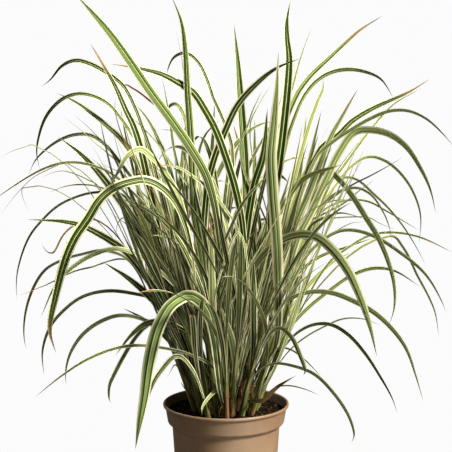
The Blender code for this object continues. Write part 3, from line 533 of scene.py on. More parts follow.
# Blades read from the picture. Each has the depth of its tip and its width in millimetres, its turn
# from face-on at the root, middle and tip in degrees, and its line in picture pixels, root to tip.
TRACED = {
    "low_right_brown": (-60, 7, (20, 20, 30), (
        (255, 409), (264, 400), (279, 386), (296, 375.5))),
    "front_left_arch": (-150, 22, (30, 40, 5), (
        (220.8, 389), (219, 372), (214.5, 334), (207.5, 309), (195, 296.5), (186.5, 295.2),
        (177.5, 299), (168.5, 306.5), (161.5, 318), (155.5, 332.5), (148.3, 364), (144, 396),
        (139, 425), (135.3, 449.5))),
    "front_centre_arch": (-160, 18, (35, 40, 5), (
        (236, 380), (247, 315), (249, 281.5), (246.3, 254.5), (241.7, 236), (238, 232.5),
        (234, 237), (226, 257.5), (218, 281.5), (213.2, 306), (213.5, 318))),
    "right_arch": (-150, 16, (70, 35, 5), (
        (238, 350), (247, 298), (255, 268), (273, 247), (294, 236.3), (315, 237), (333, 251),
        (348.5, 272), (360, 297), (369, 323), (377, 357))),
    "left_arch": (-130, 17, (75, 35, 5), (
        (203, 282), (191.5, 251), (185, 226), (174.5, 202), (160, 187), (145, 180.8),
        (130, 182.5), (114, 188.5), (100, 200), (88, 219), (75, 238), (66, 258), (56, 295),
        (49.7, 330), (56, 353))),
    "pale_upright": (-230, 17, (5, 5, 30), (
        (276, 345), (278.3, 285), (276.5, 235), (273, 190), (271.5, 155), (274.5, 122),
        (276.8, 92), (278.5, 50))),
    "left_sword": (-120, 14, (10, 10, 15), (
        (208, 180), (190, 147), (170, 118), (150, 91), (130, 61.5), (110, 33.5), (90, 10),
        (74, -7))),
    "centre_sword": (-90, 12, (10, 5, 15), (
        (205, 305), (203.3, 266), (199.5, 240), (194.5, 213), (192.5, 170), (190.5, 130),
        (187.5, 90), (185.5, 52), (181.5, 22), (171, -5))),
    "right_sword": (60, 14, (10, 5, 35), (
        (270, 215), (276, 183), (280.5, 152), (284.5, 118), (287.5, 87), (289, 58), (287, 38),
        (287, 20), (290.5, 0))),
    "middle_upright": (70, 13, (10, 5, 20), (
        (246, 250), (246, 205), (245, 165), (243, 132), (240.5, 98), (238, 64), (234, 24))),
    "right_dark_arch": (-80, 13, (10, 20, 40), (
        (272, 312), (290, 264), (298.6, 237), (312, 211), (326, 181), (341, 150.5),
        (356, 131.8), (372, 130.3), (390, 135), (406, 147), (419, 166), (430, 189),
        (436, 214))),
    "middle_left_arch": (-100, 13, (10, 15, 25), (
        (243, 228), (236, 190), (226, 157), (216, 130), (205, 109.5), (193, 92), (180, 83.5),
        (163, 74.5), (143, 69), (111, 64))),
    "crossing_right": (-50, 13, (10, 20, 35), (
        (203, 262), (204.2, 225), (208, 185), (215, 157), (225, 132), (238, 105), (256, 84.5),
        (276, 68.5), (300, 58.5))),
    "left_dark": (40, 15, (15, 15, 20), (
        (192, 362), (176, 315), (157, 264), (143, 238), (127.7, 211.5), (112, 190), (96, 170),
        (80, 153.5), (57, 136))),
    "left_striped": (90, 14, (10, 10, 40), (
        (157, 226), (150, 192), (142, 155), (134, 128), (125, 109), (116, 88), (103, 65),
        (90, 43))),
    "left_green": (-60, 13, (20, 25, 30), (
        (188, 355), (168, 312), (147, 279), (127, 253), (101, 235.5), (80, 225.3), (62, 221.5),
        (44, 220.3), (27, 219.5))),
    "low_right_arch": (-90, 9, (75, 40, 15), (
        (228, 360), (245, 330), (268, 312), (291, 298.5), (311, 292.2), (333, 293.5),
        (354, 301.6), (373, 312), (391, 328), (406, 348.5), (416.5, 378), (423.5, 402))),
    "right_hanging": (-130, 10, (65, 35, 15), (
        (300, 222), (317, 184), (326, 171), (338, 179), (352, 196), (364, 215), (379, 239.5),
        (391.5, 272), (394.6, 289), (394, 309), (389, 325.5))),
    "mint_upright": (-50, 13, (10, 10, 30), (
        (245, 245), (249.5, 211), (255, 183), (263, 157), (267.5, 108))),
    "front_pale": (-80, 11, (15, 10, 10), (
        (232.5, 405), (235, 378.5), (232, 340), (224.5, 317), (220, 304))),
    "left_low_green": (60, 12, (20, 15, 20), (
        (202, 395), (186, 352), (166, 316), (147, 294.5), (125.5, 276.5), (103, 262))),
    "right_dark": (-30, 10, (15, 15, 35), (
        (291, 238), (300.5, 213), (309, 194), (320, 165), (332, 135), (343, 115),
        (358, 88.5))),
    "right_upper": (110, 9, (15, 15, 30), (
        (283, 128), (290.5, 108), (299, 90.5), (312, 74), (328, 59), (344, 44), (360, 30),
        (383, 15.5))),
    "right_folded": (130, 11, (20, 20, 30), (
        (320, 150), (338, 135.5), (352, 121.5), (371, 109.5), (391, 100.2), (409, 92),
        (430, 79))),
    "left_pale": (130, 10, (20, 20, 30), (
        (145, 180), (133, 156), (120, 138), (104, 123.5), (88, 110.5), (72, 100), (56, 93))),
    "left_high_arch": (150, 9, (25, 45, 20), (
        (156, 175), (150, 150), (142, 127), (134, 106), (123, 86), (108, 74), (90, 64),
        (75, 60.6), (62, 66), (50, 80), (41, 87))),
    "right_yellow": (40, 7, (25, 25, 30), (
        (287, 210), (293, 187), (298, 166), (304, 144), (311, 120), (318, 101), (323.5, 86),
        (322, 76.5))),
    "left_yellow_arch": (-120, 11, (70, 45, 20), (
        (180, 200), (165, 173), (151, 157), (140, 149.6), (128, 155.5), (117, 174),
        (107.5, 191.5))),
    "low_left_cut": (-90, 11, (65, 35, 15), (
        (207, 372), (196, 342), (180, 329), (160, 322.3), (145.5, 324.3), (131, 335.5),
        (115.3, 355.7))),
    "low_left_thin": (-60, 6, (70, 40, 20), (
        (223, 400), (212, 367), (190, 355), (166, 348.7), (137, 345.6), (115, 348.7),
        (86.5, 360), (63.5, 374.5), (34.5, 397.5))),
    "low_left_drop": (-120, 9, (70, 40, 15), (
        (203, 397), (191, 368), (176.5, 356.5), (163, 368.5), (151.3, 387.5), (145, 412))),
    "front_right_hook": (-140, 8, (70, 40, 15), (
        (258, 360), (264, 345), (279, 328.5), (291, 337), (299.5, 354), (305, 370),
        (303.5, 375.5))),
    "low_right_long": (-130, 6, (70, 40, 20), (
        (247, 392), (254, 377), (272, 364.4), (294, 366.5), (315, 375), (334, 394),
        (348.5, 416), (354, 434), (351.5, 443))),
    "right_mid_arch": (60, 8, (20, 35, 35), (
        (257, 395), (267, 369), (282, 338), (305, 311), (330, 290.5), (352, 275.5),
        (373, 268.5), (393, 270.5), (420, 286.5))),
    "right_bright": (120, 9, (20, 25, 30), (
        (255, 385), (275, 335), (294, 305), (315, 278), (336, 260), (352, 252))),
    "right_bright_upper": (170, 8, (20, 30, 35), (
        (262, 335), (282, 295), (301, 270.5), (320, 256.5), (341, 249), (373, 238))),
    "right_pale_arch": (-60, 7, (70, 40, 30), (
        (262, 392), (276, 362), (293.5, 336.5), (312, 325.5), (330, 324.7), (347, 334),
        (364.5, 353), (379, 375), (392, 398), (397.5, 413))),
    "left_low_arch": (40, 8, (70, 40, 30), (
        (190, 360), (170, 334), (147, 321.3), (121, 315.6), (102.3, 321), (83.5, 334),
        (70.6, 353), (65.6, 373), (66.3, 386))),
    "left_mid_arch": (-80, 9, (70, 40, 30), (
        (198, 318), (180, 292.3), (158.5, 270.7), (135.5, 254), (115.3, 249), (93.7, 254.8),
        (72, 267.8), (57, 283), (40.5, 318))),
    "middle_far_arch": (200, 8, (25, 45, 30), (
        (232, 150), (222, 118), (213, 98), (207, 80), (198, 62.5), (186, 53.5), (174, 57.5),
        (168, 69), (167, 75))),
    "right_high_arch": (160, 9, (30, 45, 30), (
        (287, 142), (294, 120), (304, 97), (315, 83), (328, 74), (345, 69.7), (364, 71.7),
        (381, 79.5), (394, 99))),
    "left_hook": (180, 8, (30, 45, 30), (
        (150, 165), (134, 138), (121, 119), (108, 104), (90, 95.3), (75, 94.5), (60, 101),
        (46, 117), (39, 136), (36.7, 153), (40, 170))),
    "left_second_arch": (120, 7, (30, 40, 30), (
        (140, 192), (120, 163), (105, 145), (92, 136), (78, 134.5), (62, 139), (46, 149.5),
        (35, 161), (28.5, 175))),
    "left_long": (60, 6, (30, 40, 35), (
        (150, 212), (135, 195), (110, 173), (90, 165), (74, 162.5), (58, 164), (40, 170.5),
        (20, 182), (0, 195.5), (-14, 206))),
    "left_pale_arch": (130, 5, (30, 40, 30), (
        (125, 197), (105, 192.5), (90, 193.3), (74, 198), (58, 206), (43, 219.5),
        (29, 237.5), (18, 269), (16.3, 285), (17, 301))),
    "middle_dark_arch": (160, 8, (30, 45, 30), (
        (196, 165), (188, 135), (182, 112), (175, 104.3), (168, 109), (169, 116))),
    "long_dry": (-110, 5, (20, 35, 35), (
        (238, 232), (224, 206.5), (211, 190), (195, 177.5), (180, 168), (162, 165.3),
        (141, 169.5))),
    "right_far_long": (-60, 6, (30, 35, 35), (
        (317, 157), (333, 142), (350, 130.5), (370, 119), (390, 111.2), (409, 111.3),
        (427, 119.5), (442, 133), (455, 148))),
    "right_far_arch": (120, 6, (30, 40, 30), (
        (322, 206), (338, 182), (352, 166), (368, 157), (383, 160), (399, 172), (413, 192),
        (420.5, 216), (419, 245))),
    "right_grey": (200, 6, (30, 30, 35), (
        (330, 184), (343, 167), (358, 146), (375, 124), (393, 104.8), (421, 88.5))),
    "right_short": (-120, 9, (15, 30, 35), (
        (276, 222), (289, 197), (302, 180.5), (316, 173), (333, 167.5), (343, 164))),
    "right_low_far": (-40, 7, (30, 40, 30), (
        (290, 290), (300, 268), (312, 250), (335, 233), (350, 230.3), (373, 236),
        (399, 252), (425, 274), (442, 302), (446, 313))),
    "right_drooping": (60, 5, (30, 40, 30), (
        (330, 195), (344, 178), (356, 179.5), (373, 193.5), (390, 210), (405, 229),
        (420, 254), (426, 266))),
    "right_pale_far": (140, 5, (30, 35, 30), (
        (390, 236), (403, 247.6), (417.6, 276.4), (427.7, 295), (435, 312.5), (439, 338))),
    "right_yellow_drop": (-150, 5, (70, 40, 25), (
        (308, 226), (322, 205), (341, 191), (358, 188.3), (371, 195), (382, 210),
        (389, 226), (392, 242))),
    "left_thin_arch": (80, 7, (30, 40, 30), (
        (190, 330), (160, 302), (132.6, 293.7), (106.6, 291.3), (82, 297.3), (63.4, 311),
        (50.3, 327), (42.5, 351.5), (44, 376))),
    "left_far_arch": (160, 6, (30, 40, 30), (
        (130, 262), (105, 251), (82, 254.5), (62, 260.5), (44.7, 270.7), (31.7, 292),
        (24.5, 319.7), (24.5, 341.3), (26.7, 350.5))),
    "left_narrow": (-60, 8, (20, 20, 30), (
        (208, 310), (191.5, 264), (177, 237), (158, 216.5), (131, 202), (113, 197))),
    "left_slim": (140, 5, (20, 20, 30), (
        (182, 185), (174, 150), (170, 122), (166.5, 100), (162, 77))),
    "middle_slim": (170, 6, (20, 20, 30), (
        (243, 185), (253, 157), (265, 135.5), (276, 114), (283, 92))),
    "middle_yellow": (-130, 5, (20, 20, 30), (
        (222, 250), (232, 225), (244.5, 201), (256, 187), (269, 174.5))),
    "curled_at_rim": (-92, 6, (15, 20, 15), (
        (222.5, 404), (221.5, 396), (218, 390.7), (209, 397.5), (202, 409), (202, 414))),
    "left_tail": (120, 7, (20, 20, 30), (
        (196, 385), (180, 355.5), (162, 334), (143, 318.6), (122.5, 308))),
    "left_drop": (-60, 7, (20, 30, 30), (
        (165, 322), (150, 326), (132, 343), (122.5, 360), (111, 381.5), (109, 397.5),
        (110.7, 403.5))),
    "right_tip": (130, 5, (20, 20, 30), (
        (285, 110), (292, 88), (298, 66), (304.5, 46), (312, 27))),
    "right_thin_long": (150, 5, (30, 35, 30), (
        (330, 262), (345, 250), (370, 235.5), (392, 232.5), (419, 237), (453, 252.5))),
    "right_thin_mid": (180, 5, (30, 35, 30), (
        (300, 240), (313, 221), (330, 206), (350, 200), (368, 201.5), (388, 212),
        (420, 231))),
}


def seen_point(pixel, depth):
    """The point at that depth that the eye sees at a pixel of the picture."""
    aside = Vector((pixel[0] - PICTURE_MIDDLE, 0, 0))
    ray = EYE_AHEAD * EYE_FOCAL + aside + EYE_UP * (PICTURE_MIDDLE - pixel[1])
    return EYE + ray * ((depth - EYE.y) / ray.y)


def pixel_of(point):
    """The pixel of the picture at which the eye sees a point."""
    way = (point - EYE) * EYE_FOCAL / (point - EYE).dot(EYE_AHEAD)
    return PICTURE_MIDDLE + way.x, PICTURE_MIDDLE - way.dot(EYE_UP)


def smooth_line(corners, lead):
    """A curve through the corners that starts along lead and halves each corner's turn."""
    runs = [(after - here).normalized() for here, after in zip(corners, corners[1:])]
    headings = [lead, *[(a + b).normalized() for a, b in zip(runs, runs[1:])], runs[-1]]
    line = []
    for index, (here, after) in enumerate(zip(corners, corners[1:])):
        chord = (after - here).length
        for step in range(CURVE_STEPS):
            t = step / CURVE_STEPS
            line.append((2 * t ** 3 - 3 * t ** 2 + 1) * here + (3 * t ** 2 - 2 * t ** 3) * after
                        + (t ** 3 - 2 * t ** 2 + t) * chord * headings[index]
                        + (t ** 3 - t ** 2) * chord * headings[index + 1])
    return [*line, corners[-1]]


def traced_line(stem, height, depth, pixels):
    """The blade's line in space: out of its culm, then along the sight lines of its picture points."""
    start = culm_point(stem, height)
    flat = [Vector((*pixel, 0)) for pixel in pixels]
    run = [0]
    for a, b in zip(flat, flat[1:]):
        run.append(run[-1] + (b - a).length)
    hidden = (seen_point(pixels[0], start.y) - start).length / PIXEL_SIZE
    reach = max(abs(pixel[0] - pixels[0][0]) for pixel in pixels)
    sideways = min(1, reach / SIDEWAYS_REACH)
    bow = FRONT_BOW if depth <= FRONT_DEPTH else 0
    corners = []
    for pixel, along in zip(pixels, run):
        span = (along + hidden) / (run[-1] + hidden)
        by_length = span ** DEPTH_CURVE
        by_reach = abs(pixel[0] - pixels[0][0]) / max(reach, 1)
        share = by_length + (by_reach - by_length) * SIDEWAYS_SHARE * sideways
        ahead = bow * 2 * math.sqrt(span * (1 - span))
        corners.append(seen_point(pixel, start.y + (depth - start.y) * share - ahead))
    while len(corners) > 3 and ((corners[0] - start).length < ROOT_ROOM
                                or corners[0].z < start.z + ROOT_RISE):
        corners = corners[1:]
    return smooth_line([start, *corners], parting(stem, height, corners[0] - start))


def parting(stem, height, towards):
    """The direction in which a blade parts from its culm, on the side it is heading for."""
    lead = culm_direction(stem, height)
    aside = (towards - lead * towards.dot(lead)).normalized()
    return lead * math.cos(PARTING_ANGLE) + aside * math.sin(PARTING_ANGLE)


def grown_line(stem, height, heading, length, tip_angle, curl):
    """A blade's line by rule: it parts from its culm and bends over towards its heading."""
    flat = Vector((math.cos(heading), math.sin(heading), 0))
    first = parting(stem, height, flat)
    first_angle = first.angle(Vector((0, 0, 1)))
    line = [culm_point(stem, height)]
    for step in range(1, GROWN_STEPS + 1):
        share = step / GROWN_STEPS
        angle = first_angle + (tip_angle - first_angle) * share ** curl
        bent = flat * math.sin(angle) + Vector((0, 0, 1)) * math.cos(angle)
        direction = first.lerp(bent, min(1, PARTING_PACE * share)).normalized()
        line.append(line[-1] + direction * length / GROWN_STEPS)
    return line


def spread(line, count):
    """Picks count + 1 places along the line, closer together where it bends."""
    measure = [0]
    for before, here, after in zip(line, line[1:], line[2:]):
        turn = (here - before).angle(after - here, 0)
        measure.append(measure[-1] + (here - before).length + BEND_WEIGHT * turn)
    measure.append(measure[-1] + (line[-1] - line[-2]).length)
    places = []
    index = 0
    for step in range(count + 1):
        goal = measure[-1] * step / count
        while index < len(line) - 2 and measure[index + 1] < goal:
            index += 1
        share = (goal - measure[index]) / max(measure[index + 1] - measure[index], 1e-9)
        places.append(line[index].lerp(line[index + 1], min(1, share)))
    return places


def blade_width(share):
    """A blade's width along its length, as a share of its widest."""
    root = ROOT_WIDTH + (1 - ROOT_WIDTH) * min(1, share / ROOT_SHARE) ** ROOT_FLARE
    tip = 1 - max(0, (share - TIP_SHARE) / (1 - TIP_SHARE)) ** TIP_TAPER
    return root * max(tip, 0)


def blade_side(leaf, place, direction, share):
    """The unit vector across the blade at one place."""
    if leaf["turn"]:
        view = (EYE - place).normalized()
        across = view.cross(direction).normalized()
        inward = direction.cross(across)
        first, middle, last = leaf["turn"]
        degrees = first + (middle - first) * 2 * share
        if share > 0.5:
            degrees = middle + (last - middle) * (2 * share - 1)
        angle = math.radians(degrees)
        return across * math.cos(angle) + inward * math.sin(angle)
    heading = leaf["heading"]
    across = Vector((-math.sin(heading), math.cos(heading), 0))
    across = (across - direction * across.dot(direction)).normalized()
    return Matrix.Rotation(leaf["twist"] * share, 3, direction) @ across


def blade_mesh(leaf, grow=0):
    """A keeled blade, pointed at its tip, as points and triangles. grow thickens it all round.

    Each four-sided face is split along the diagonal that bulges out, so a twist never sinks one
    face of the thin blade through the other.
    """
    segments = leaf["segments"]
    places = spread(leaf["line"], segments)
    points, faces = [], []
    for index, place in enumerate(places[:-1]):
        before = places[max(index - 1, 0)]
        direction = (places[index + 1] - before).normalized()
        share = index / segments
        side = blade_side(leaf, place, direction, share)
        half = leaf["width"] * blade_width(share) / 2 + grow
        keel = side.cross(direction) * (BLADE_THICKNESS * (1 - TIP_THINNING * share) / 2 + grow)
        points += [place - side * half + keel, place + side * half + keel, place - keel]
    points.append(places[-1])
    for index in range(segments - 1):
        middle = sum(points[3 * index:3 * index + 6], Vector()) / 6
        for corner in range(3):
            here = 3 * index + corner
            after = 3 * index + (corner + 1) % 3
            quad = [points[here], points[after], points[after + 3], points[here + 3]]
            outward = sum(quad, Vector()) / 4 - middle
            if (quad[0] + quad[2] - quad[1] - quad[3]).dot(outward) > 0:
                faces += [(here, after, after + 3), (here, after + 3, here + 3)]
            else:
                faces += [(here, after, here + 3), (after, after + 3, here + 3)]
    last = 3 * (segments - 1)
    faces += [(last + corner, last + (corner + 1) % 3, last + 3) for corner in range(3)]
    faces.append((2, 1, 0))
    return points, faces


def folds(points, faces):
    """Whether triangles that share no corner cross."""
    tree = BVHTree.FromPolygons(points, faces)
    return any(not set(faces[a]) & set(faces[b]) for a, b in tree.overlap(tree) if a < b)


# How many triangles stand round a blade's first stretch
FIRST_FACES = 6


class Thicket:
    """What stands already, to bend new blades clear of it."""

    def __init__(self):
        self.standing = []

    def add(self, owner, kind, points, faces):
        """Notes the mesh as standing, with the stem that it belongs to and what it is."""
        self.standing.append((owner, kind, self.box(points), BVHTree.FromPolygons(points, faces)))

    @staticmethod
    def box(points):
        """The least and the greatest of the points along each axis."""
        low = [min(point[axis] for point in points) for axis in range(3)]
        high = [max(point[axis] for point in points) for axis in range(3)]
        return low, high

    def touches(self, owner, points, faces):
        """Whether a blade meets anything that stands. Its first stretch may meet its own culm."""
        low, high = self.box(points)
        whole = BVHTree.FromPolygons(points, faces)
        free_part = BVHTree.FromPolygons(points, faces[FIRST_FACES:-1])
        for other, kind, (other_low, other_high), other_tree in self.standing:
            if any(low[axis] > other_high[axis] or high[axis] < other_low[axis] for axis in range(3)):
                continue
            tree = free_part if other == owner and kind == "culm" else whole
            if tree.overlap(other_tree):
                return True
        return False


def sway(limit, step):
    """Growing shifts to either side, starting with none."""
    yield 0
    shift = step
    while shift <= limit:
        yield shift
        yield -shift
        shift += step


def wanted_height(stem, pixels):
    """How far up its culm a traced blade should leave it."""
    start = seen_point(pixels[0], stem["foot"].y)
    return (start.z - stem["foot"].z) / stem["axis"].z - ROOT_DROP


def misfit(stem, pixels, depth):
    """How badly a stem suits a traced blade: how far its own line passes from the blade's start."""
    height = wanted_height(stem, pixels)
    near = culm_point(stem, min(max(height, 0), HIGHEST_ROOT))
    aside = abs(seen_point(pixels[0], near.y).x - near.x)
    behind = abs(near.y - ROOT_DEPTH * depth)
    below = min(abs(free - height) for free in stem["free"]) if height < stem["height"] else 0
    return aside + DEPTH_WEIGHT * behind + HEIGHT_WEIGHT * below + CROWDING * len(stem["leaves"])


def place_traced(stems, thicket):
    """Roots each traced blade on the stem that suits it best and has a clear way for it."""
    for name, (tip_depth, width, turn, pixels) in TRACED.items():
        depth = tip_depth / 1000
        with_room = [stem for stem in stems if stem["free"]]
        choices = sorted(with_room, key=lambda stem: misfit(stem, pixels, depth))[:STEM_CHOICES]
        tries = [(stem, shift) for stem in choices for shift in sway(DEPTH_SHIFT, DEPTH_STEP)]
        for stem, shift in tries:
            height = min(stem["free"], key=lambda free: abs(free - wanted_height(stem, pixels)))
            leaf = {"line": traced_line(stem, height, depth + shift, pixels),
                    "width": width / 1000, "turn": turn, "segments": TRACED_SEGMENTS,
                    "name": name}
            while folds(*blade_mesh(leaf)) and leaf["width"] > NARROWEST:
                leaf["width"] *= NARROWING
            if plant(stems.index(stem), stem, height, leaf, thicket):
                break


def shown_places(stems):
    """Places along the blades read from the picture, each with the pixel at which it is seen."""
    lines = [leaf["line"] for stem in stems for leaf in stem["leaves"]]
    return [(pixel_of(place), place) for line in lines for place in spread(line, SHOWN_PLACES)[2:]]


def hidden_places(points, faces, shown):
    """How many of the shown places a blade stands in front of."""
    tree = BVHTree.FromPolygons(points, faces)
    across, down = zip(*[pixel_of(point) for point in points])
    hidden = 0
    for pixel, place in shown:
        if min(across) < pixel[0] < max(across) and min(down) < pixel[1] < max(down):
            way = place - EYE
            if tree.ray_cast(EYE, way.normalized(), way.length - SHOWN_MARGIN)[0]:
                hidden += 1
    return hidden


def plant(owner, stem, height, leaf, thicket):
    """Adds the blade to its stem if it is clear of itself and of what stands."""
    if folds(*blade_mesh(leaf)) or thicket.touches(owner, *blade_mesh(leaf, CLEAR)):
        return False
    thicket.add(owner, "blade", *blade_mesh(leaf))
    stem["free"].remove(height)
    stem["leaves"].append(leaf)
    return True


def grown_shape(stem, height, draw):
    """Draws a rule-made blade's heading, length and tip angle, and how late it bends."""
    if draw.random() < UPRIGHT_SHARE or height < LOW_LEAF:
        heading = math.atan2(stem["outward"].y, stem["outward"].x) + draw.uniform(-UPRIGHT_FAN, UPRIGHT_FAN)
        length = draw.uniform(*UPRIGHT_LENGTHS)
        return heading, length, math.radians(draw.uniform(*UPRIGHT_TIPS)), UPRIGHT_CURL
    side = "front" if stem["outward"].y + draw.uniform(*FRONT_LEANING) < 0 else "back"
    heading = math.radians({"front": -90, "back": 90}[side] + draw.uniform(-ARCHED_FAN, ARCHED_FAN))
    length = draw.uniform(*ARCHED_LENGTHS[side])
    tip_angle = math.radians(draw.uniform(*ARCHED_TIPS[side]))
    return heading, length, tip_angle, draw.uniform(*ARCHED_CURLS)


def in_clump(line):
    """Whether a blade stays in the dense middle, as wide as the picture shows it at each height."""
    for point in line:
        height = point.z - SOIL_Z
        if abs(point.x) > CLUMP_FOOT + CLUMP_SPREAD * height or height > CLUMP_TOP:
            return False
    return abs(line[-1].y) < CLUMP_REACH


def place_grown(stems, thicket):
    """Fills the places left on each culm with upright blades and ones that arch front and back."""
    draw = random.Random(GROWN_SEED)
    shown = shown_places(stems)
    for owner, stem in enumerate(stems):
        for height in list(stem["free"]):
            for attempt in range(GROWN_TRIES):
                heading, length, tip_angle, curl = grown_shape(stem, height, draw)
                line = grown_line(stem, height, heading, length, tip_angle, curl)
                twist = math.radians(draw.uniform(-GROWN_TWIST, GROWN_TWIST))
                leaf = {"line": line, "width": draw.uniform(*GROWN_WIDTHS), "turn": None,
                        "heading": heading, "twist": twist, "segments": GROWN_SEGMENTS}
                if not in_clump(line) or hidden_places(*blade_mesh(leaf), shown) > 1 + attempt // PATIENCE:
                    continue
                if plant(owner, stem, height, leaf, thicket):
                    break


stems = stem_table()
thicket = Thicket()
for name in ("pot", "soil"):
    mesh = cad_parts[name].data
    points = [vertex.co.copy() for vertex in mesh.vertices]
    thicket.add(None, name, points, [tuple(face.vertices) for face in mesh.polygons])
for owner, stem in enumerate(stems):
    thicket.add(owner, "culm", *culm_mesh(stem))
place_traced(stems, thicket)
place_grown(stems, thicket)


# Leafy shoots. Each culm is wrapped in overlapping olive sheaths, brown and dry at its foot. Its blades
# are channelled along a white midrib, striped green and grey-green, and margined in cream. Each blade
# is a grid laid along its line, and its stripes follow its own length.
ACROSS = 8
ALONG = 60
FOLD_AT_TIP = 9
FOLD_GAIN = 9
FOLD_AT_ROOT = 46
FOLDED_SHARE = 0.14
CHANNEL_CURVE = 1.25
RIPPLE = 0.05
RIPPLE_PACE = 13
WAVES = (0, 6)
SHEATH_SIDES = 10
SHEATH_ROWS = 30
SHEATH_FOOT = -0.006
SHEATH_THINNEST = 0.0006
COLLAR_STEP = 0.00035
COLLAR_SINK = 0.00018
COLLAR_LENGTH = 0.004
TOP_CLOSING = 0.15
DARK_GREEN = (0.018, 0.042, 0.003)
LEAF_GREEN = (0.080, 0.136, 0.014)
MINT = (0.205, 0.270, 0.095)
YELLOW_GREEN = (0.230, 0.270, 0.050)
# Painted shade: a dark green laid over each blade near its root, where the clump's middle is in shade
PAINTED_SHADE_GREEN = (0.008, 0.018, 0.002)
CREAM = (0.700, 0.640, 0.410)
RIB_WHITE = (0.600, 0.610, 0.330)
STRAW_DRY = (0.300, 0.185, 0.080)
BROWN_DRY = (0.115, 0.060, 0.027)
OLIVE = (0.080, 0.105, 0.018)
OLIVE_PALE = (0.310, 0.320, 0.120)
SHINE_THROUGH = (0.50, 0.50, 0.24)
CREAMS = (0.45, 1.0)
NARROW = 0.0085
NARROW_CREAM = 0.75
# Painted light: blades whose tips reach past this far right, the key light's side, get their tone raised by
# this much
LIT_SIDE_REACH = 0.12
PAINTED_LIGHT_TONE = 0.3
HUSKS = 2
HUSK_HEIGHTS = (0.0, 0.02)
HUSK_WIDTHS = (0.002, 0.005)
HUSK_LENGTHS = (0.03, 0.09)
HUSK_TIPS = (4, 50)
HUSK_CURLS = (1.2, 2.5)
HUSK_TWISTS = (-1.5, 1.5)
HUSK_DRYNESS = (4.0, 12.0)
SHOOT_SEED = 23

# The cream, the dryness and the tone, from dark to yellow-green, of the blades whose colour stands out
SHOWN_LOOKS = {
    "pale_upright": (0.95, 0.2, 0.75),
    "front_left_arch": (0.6, 0.3, 0.65),
    "front_centre_arch": (0.9, 0.2, 0.7),
    "right_arch": (0.8, 0.6, 0.8),
    "left_arch": (0.75, 0.8, 0.45),
    "left_sword": (0.35, 0.2, 0.6),
    "centre_sword": (0.45, 0.2, 0.55),
    "right_sword": (0.45, 0.3, 0.3),
    "left_green": (0.5, 0.3, 0.3),
    "left_dark": (0.6, 0.4, 0.1),
    "right_dark_arch": (0.85, 0.3, 0.9),
    "low_right_arch": (0.7, 0.5, 0.9),
    "low_right_brown": (0.2, 2.6, 0.5),
    "low_right_long": (0.6, 0.9, 0.85),
    "right_hanging": (0.8, 0.5, 0.9),
    "curled_at_rim": (1.0, 0.1, 0.9),
    "middle_upright": (0.4, 0.3, 0.5),
    "long_dry": (0.8, 1.0, 0.6),
}


def empty_shoot():
    """A shape for blades, with their UV map, and the layer that holds their looks."""
    shape = bmesh.new()
    shape.loops.layers.uv.new("blade")
    return shape, shape.verts.layers.float_color.new("looks")


def upper_side(leaf, places, sides):
    """1 or -1, whichever turns side x direction towards the sky, or towards the culm if upright."""
    score = 0
    for before, place, after, side in zip(places, places[1:], places[2:], sides[1:]):
        direction = (after - before).normalized()
        inward = Vector((-place.x, -place.y, 0))
        lift = side.cross(direction)
        score += lift.z * (1 - abs(direction.z)) + lift.dot(inward.normalized()) * abs(direction.z) * 0.5
    return 1 if score > 0 else -1


def lay_blade(shape, layer, leaf, looks):
    """Lays one channelled blade along its line, wrapped round its culm at the root."""
    made = bmesh.ops.create_grid(shape, x_segments=ACROSS, y_segments=ALONG, size=0.5, calc_uvs=True)
    places = spread(leaf["line"], ALONG)
    headings = [(after - before).normalized() for before, after in
                zip([places[0], *places], [*places[1:], places[-1]])]
    sides = [blade_side(leaf, place, heading, row / ALONG)
             for row, (place, heading) in enumerate(zip(places, headings))]
    up = upper_side(leaf, places, sides)
    for vertex in made["verts"]:
        row = round((vertex.co.y + 0.5) * ALONG)
        share = row / ALONG
        reach = 2 * vertex.co.x
        half = leaf["width"] * blade_width(share) / 2
        wrap = FOLD_AT_ROOT * max(0, 1 - share / FOLDED_SHARE) ** 1.5
        fold = math.radians(FOLD_AT_TIP + wrap + FOLD_GAIN * (1 - share))
        wave = math.sin(leaf["wave"] + RIPPLE_PACE * share)
        ripple = RIPPLE * wave * reach * abs(reach) * min(1, 4 * share)
        lift = sides[row].cross(headings[row]) * up
        vertex.co = (places[row] + sides[row] * (reach * half * math.cos(fold))
                     + lift * (half * (abs(reach) ** CHANNEL_CURVE * math.sin(fold) + ripple)))
        vertex[layer] = looks


def wrap_culm(shape, layer, stem, collars, looks):
    """Wraps the culm in a tube whose radius steps down at each collar."""
    made = bmesh.ops.create_grid(shape, x_segments=SHEATH_SIDES, y_segments=SHEATH_ROWS, size=0.5,
                                 calc_uvs=True)
    for vertex in made["verts"]:
        share = vertex.co.y + 0.5
        height = SHEATH_FOOT + (stem["height"] - SHEATH_FOOT) * share
        above = max(height, 0) / stem["height"]
        radius = CULM_FOOT_RADIUS + (CULM_TOP_RADIUS - CULM_FOOT_RADIUS) * above
        for collar in collars:
            radius += COLLAR_STEP * max(0, min(1, (collar - height) / COLLAR_LENGTH)) - COLLAR_SINK
        if share > 0.999:
            radius *= TOP_CLOSING
        angle = math.tau * (vertex.co.x + 0.5)
        axis = culm_direction(stem, height)
        across = axis.cross(Vector((0, 1, 0))).normalized()
        around = across * math.cos(angle) + axis.cross(across) * math.sin(angle)
        vertex.co = culm_point(stem, height) + around * max(radius, SHEATH_THINNEST)
        vertex[layer] = looks


def blade_values(finish):
    """What a blade carries: place across and along it, number, cream, dryness, and tone with painted light.
    """
    across = finish.node("ShaderNodeSeparateXYZ", {}, {
        "Vector": finish.node("ShaderNodeUVMap", {"uv_map": "blade"})})
    looks = finish.node("ShaderNodeAttribute", {"attribute_name": "looks"}, {}, "Color")
    number = finish.node("ShaderNodeSeparateColor", {}, {"Color": looks})
    return (across, across.other("Y"), number, number.other("Green"), number.other("Blue"),
            looks.other("Alpha"))


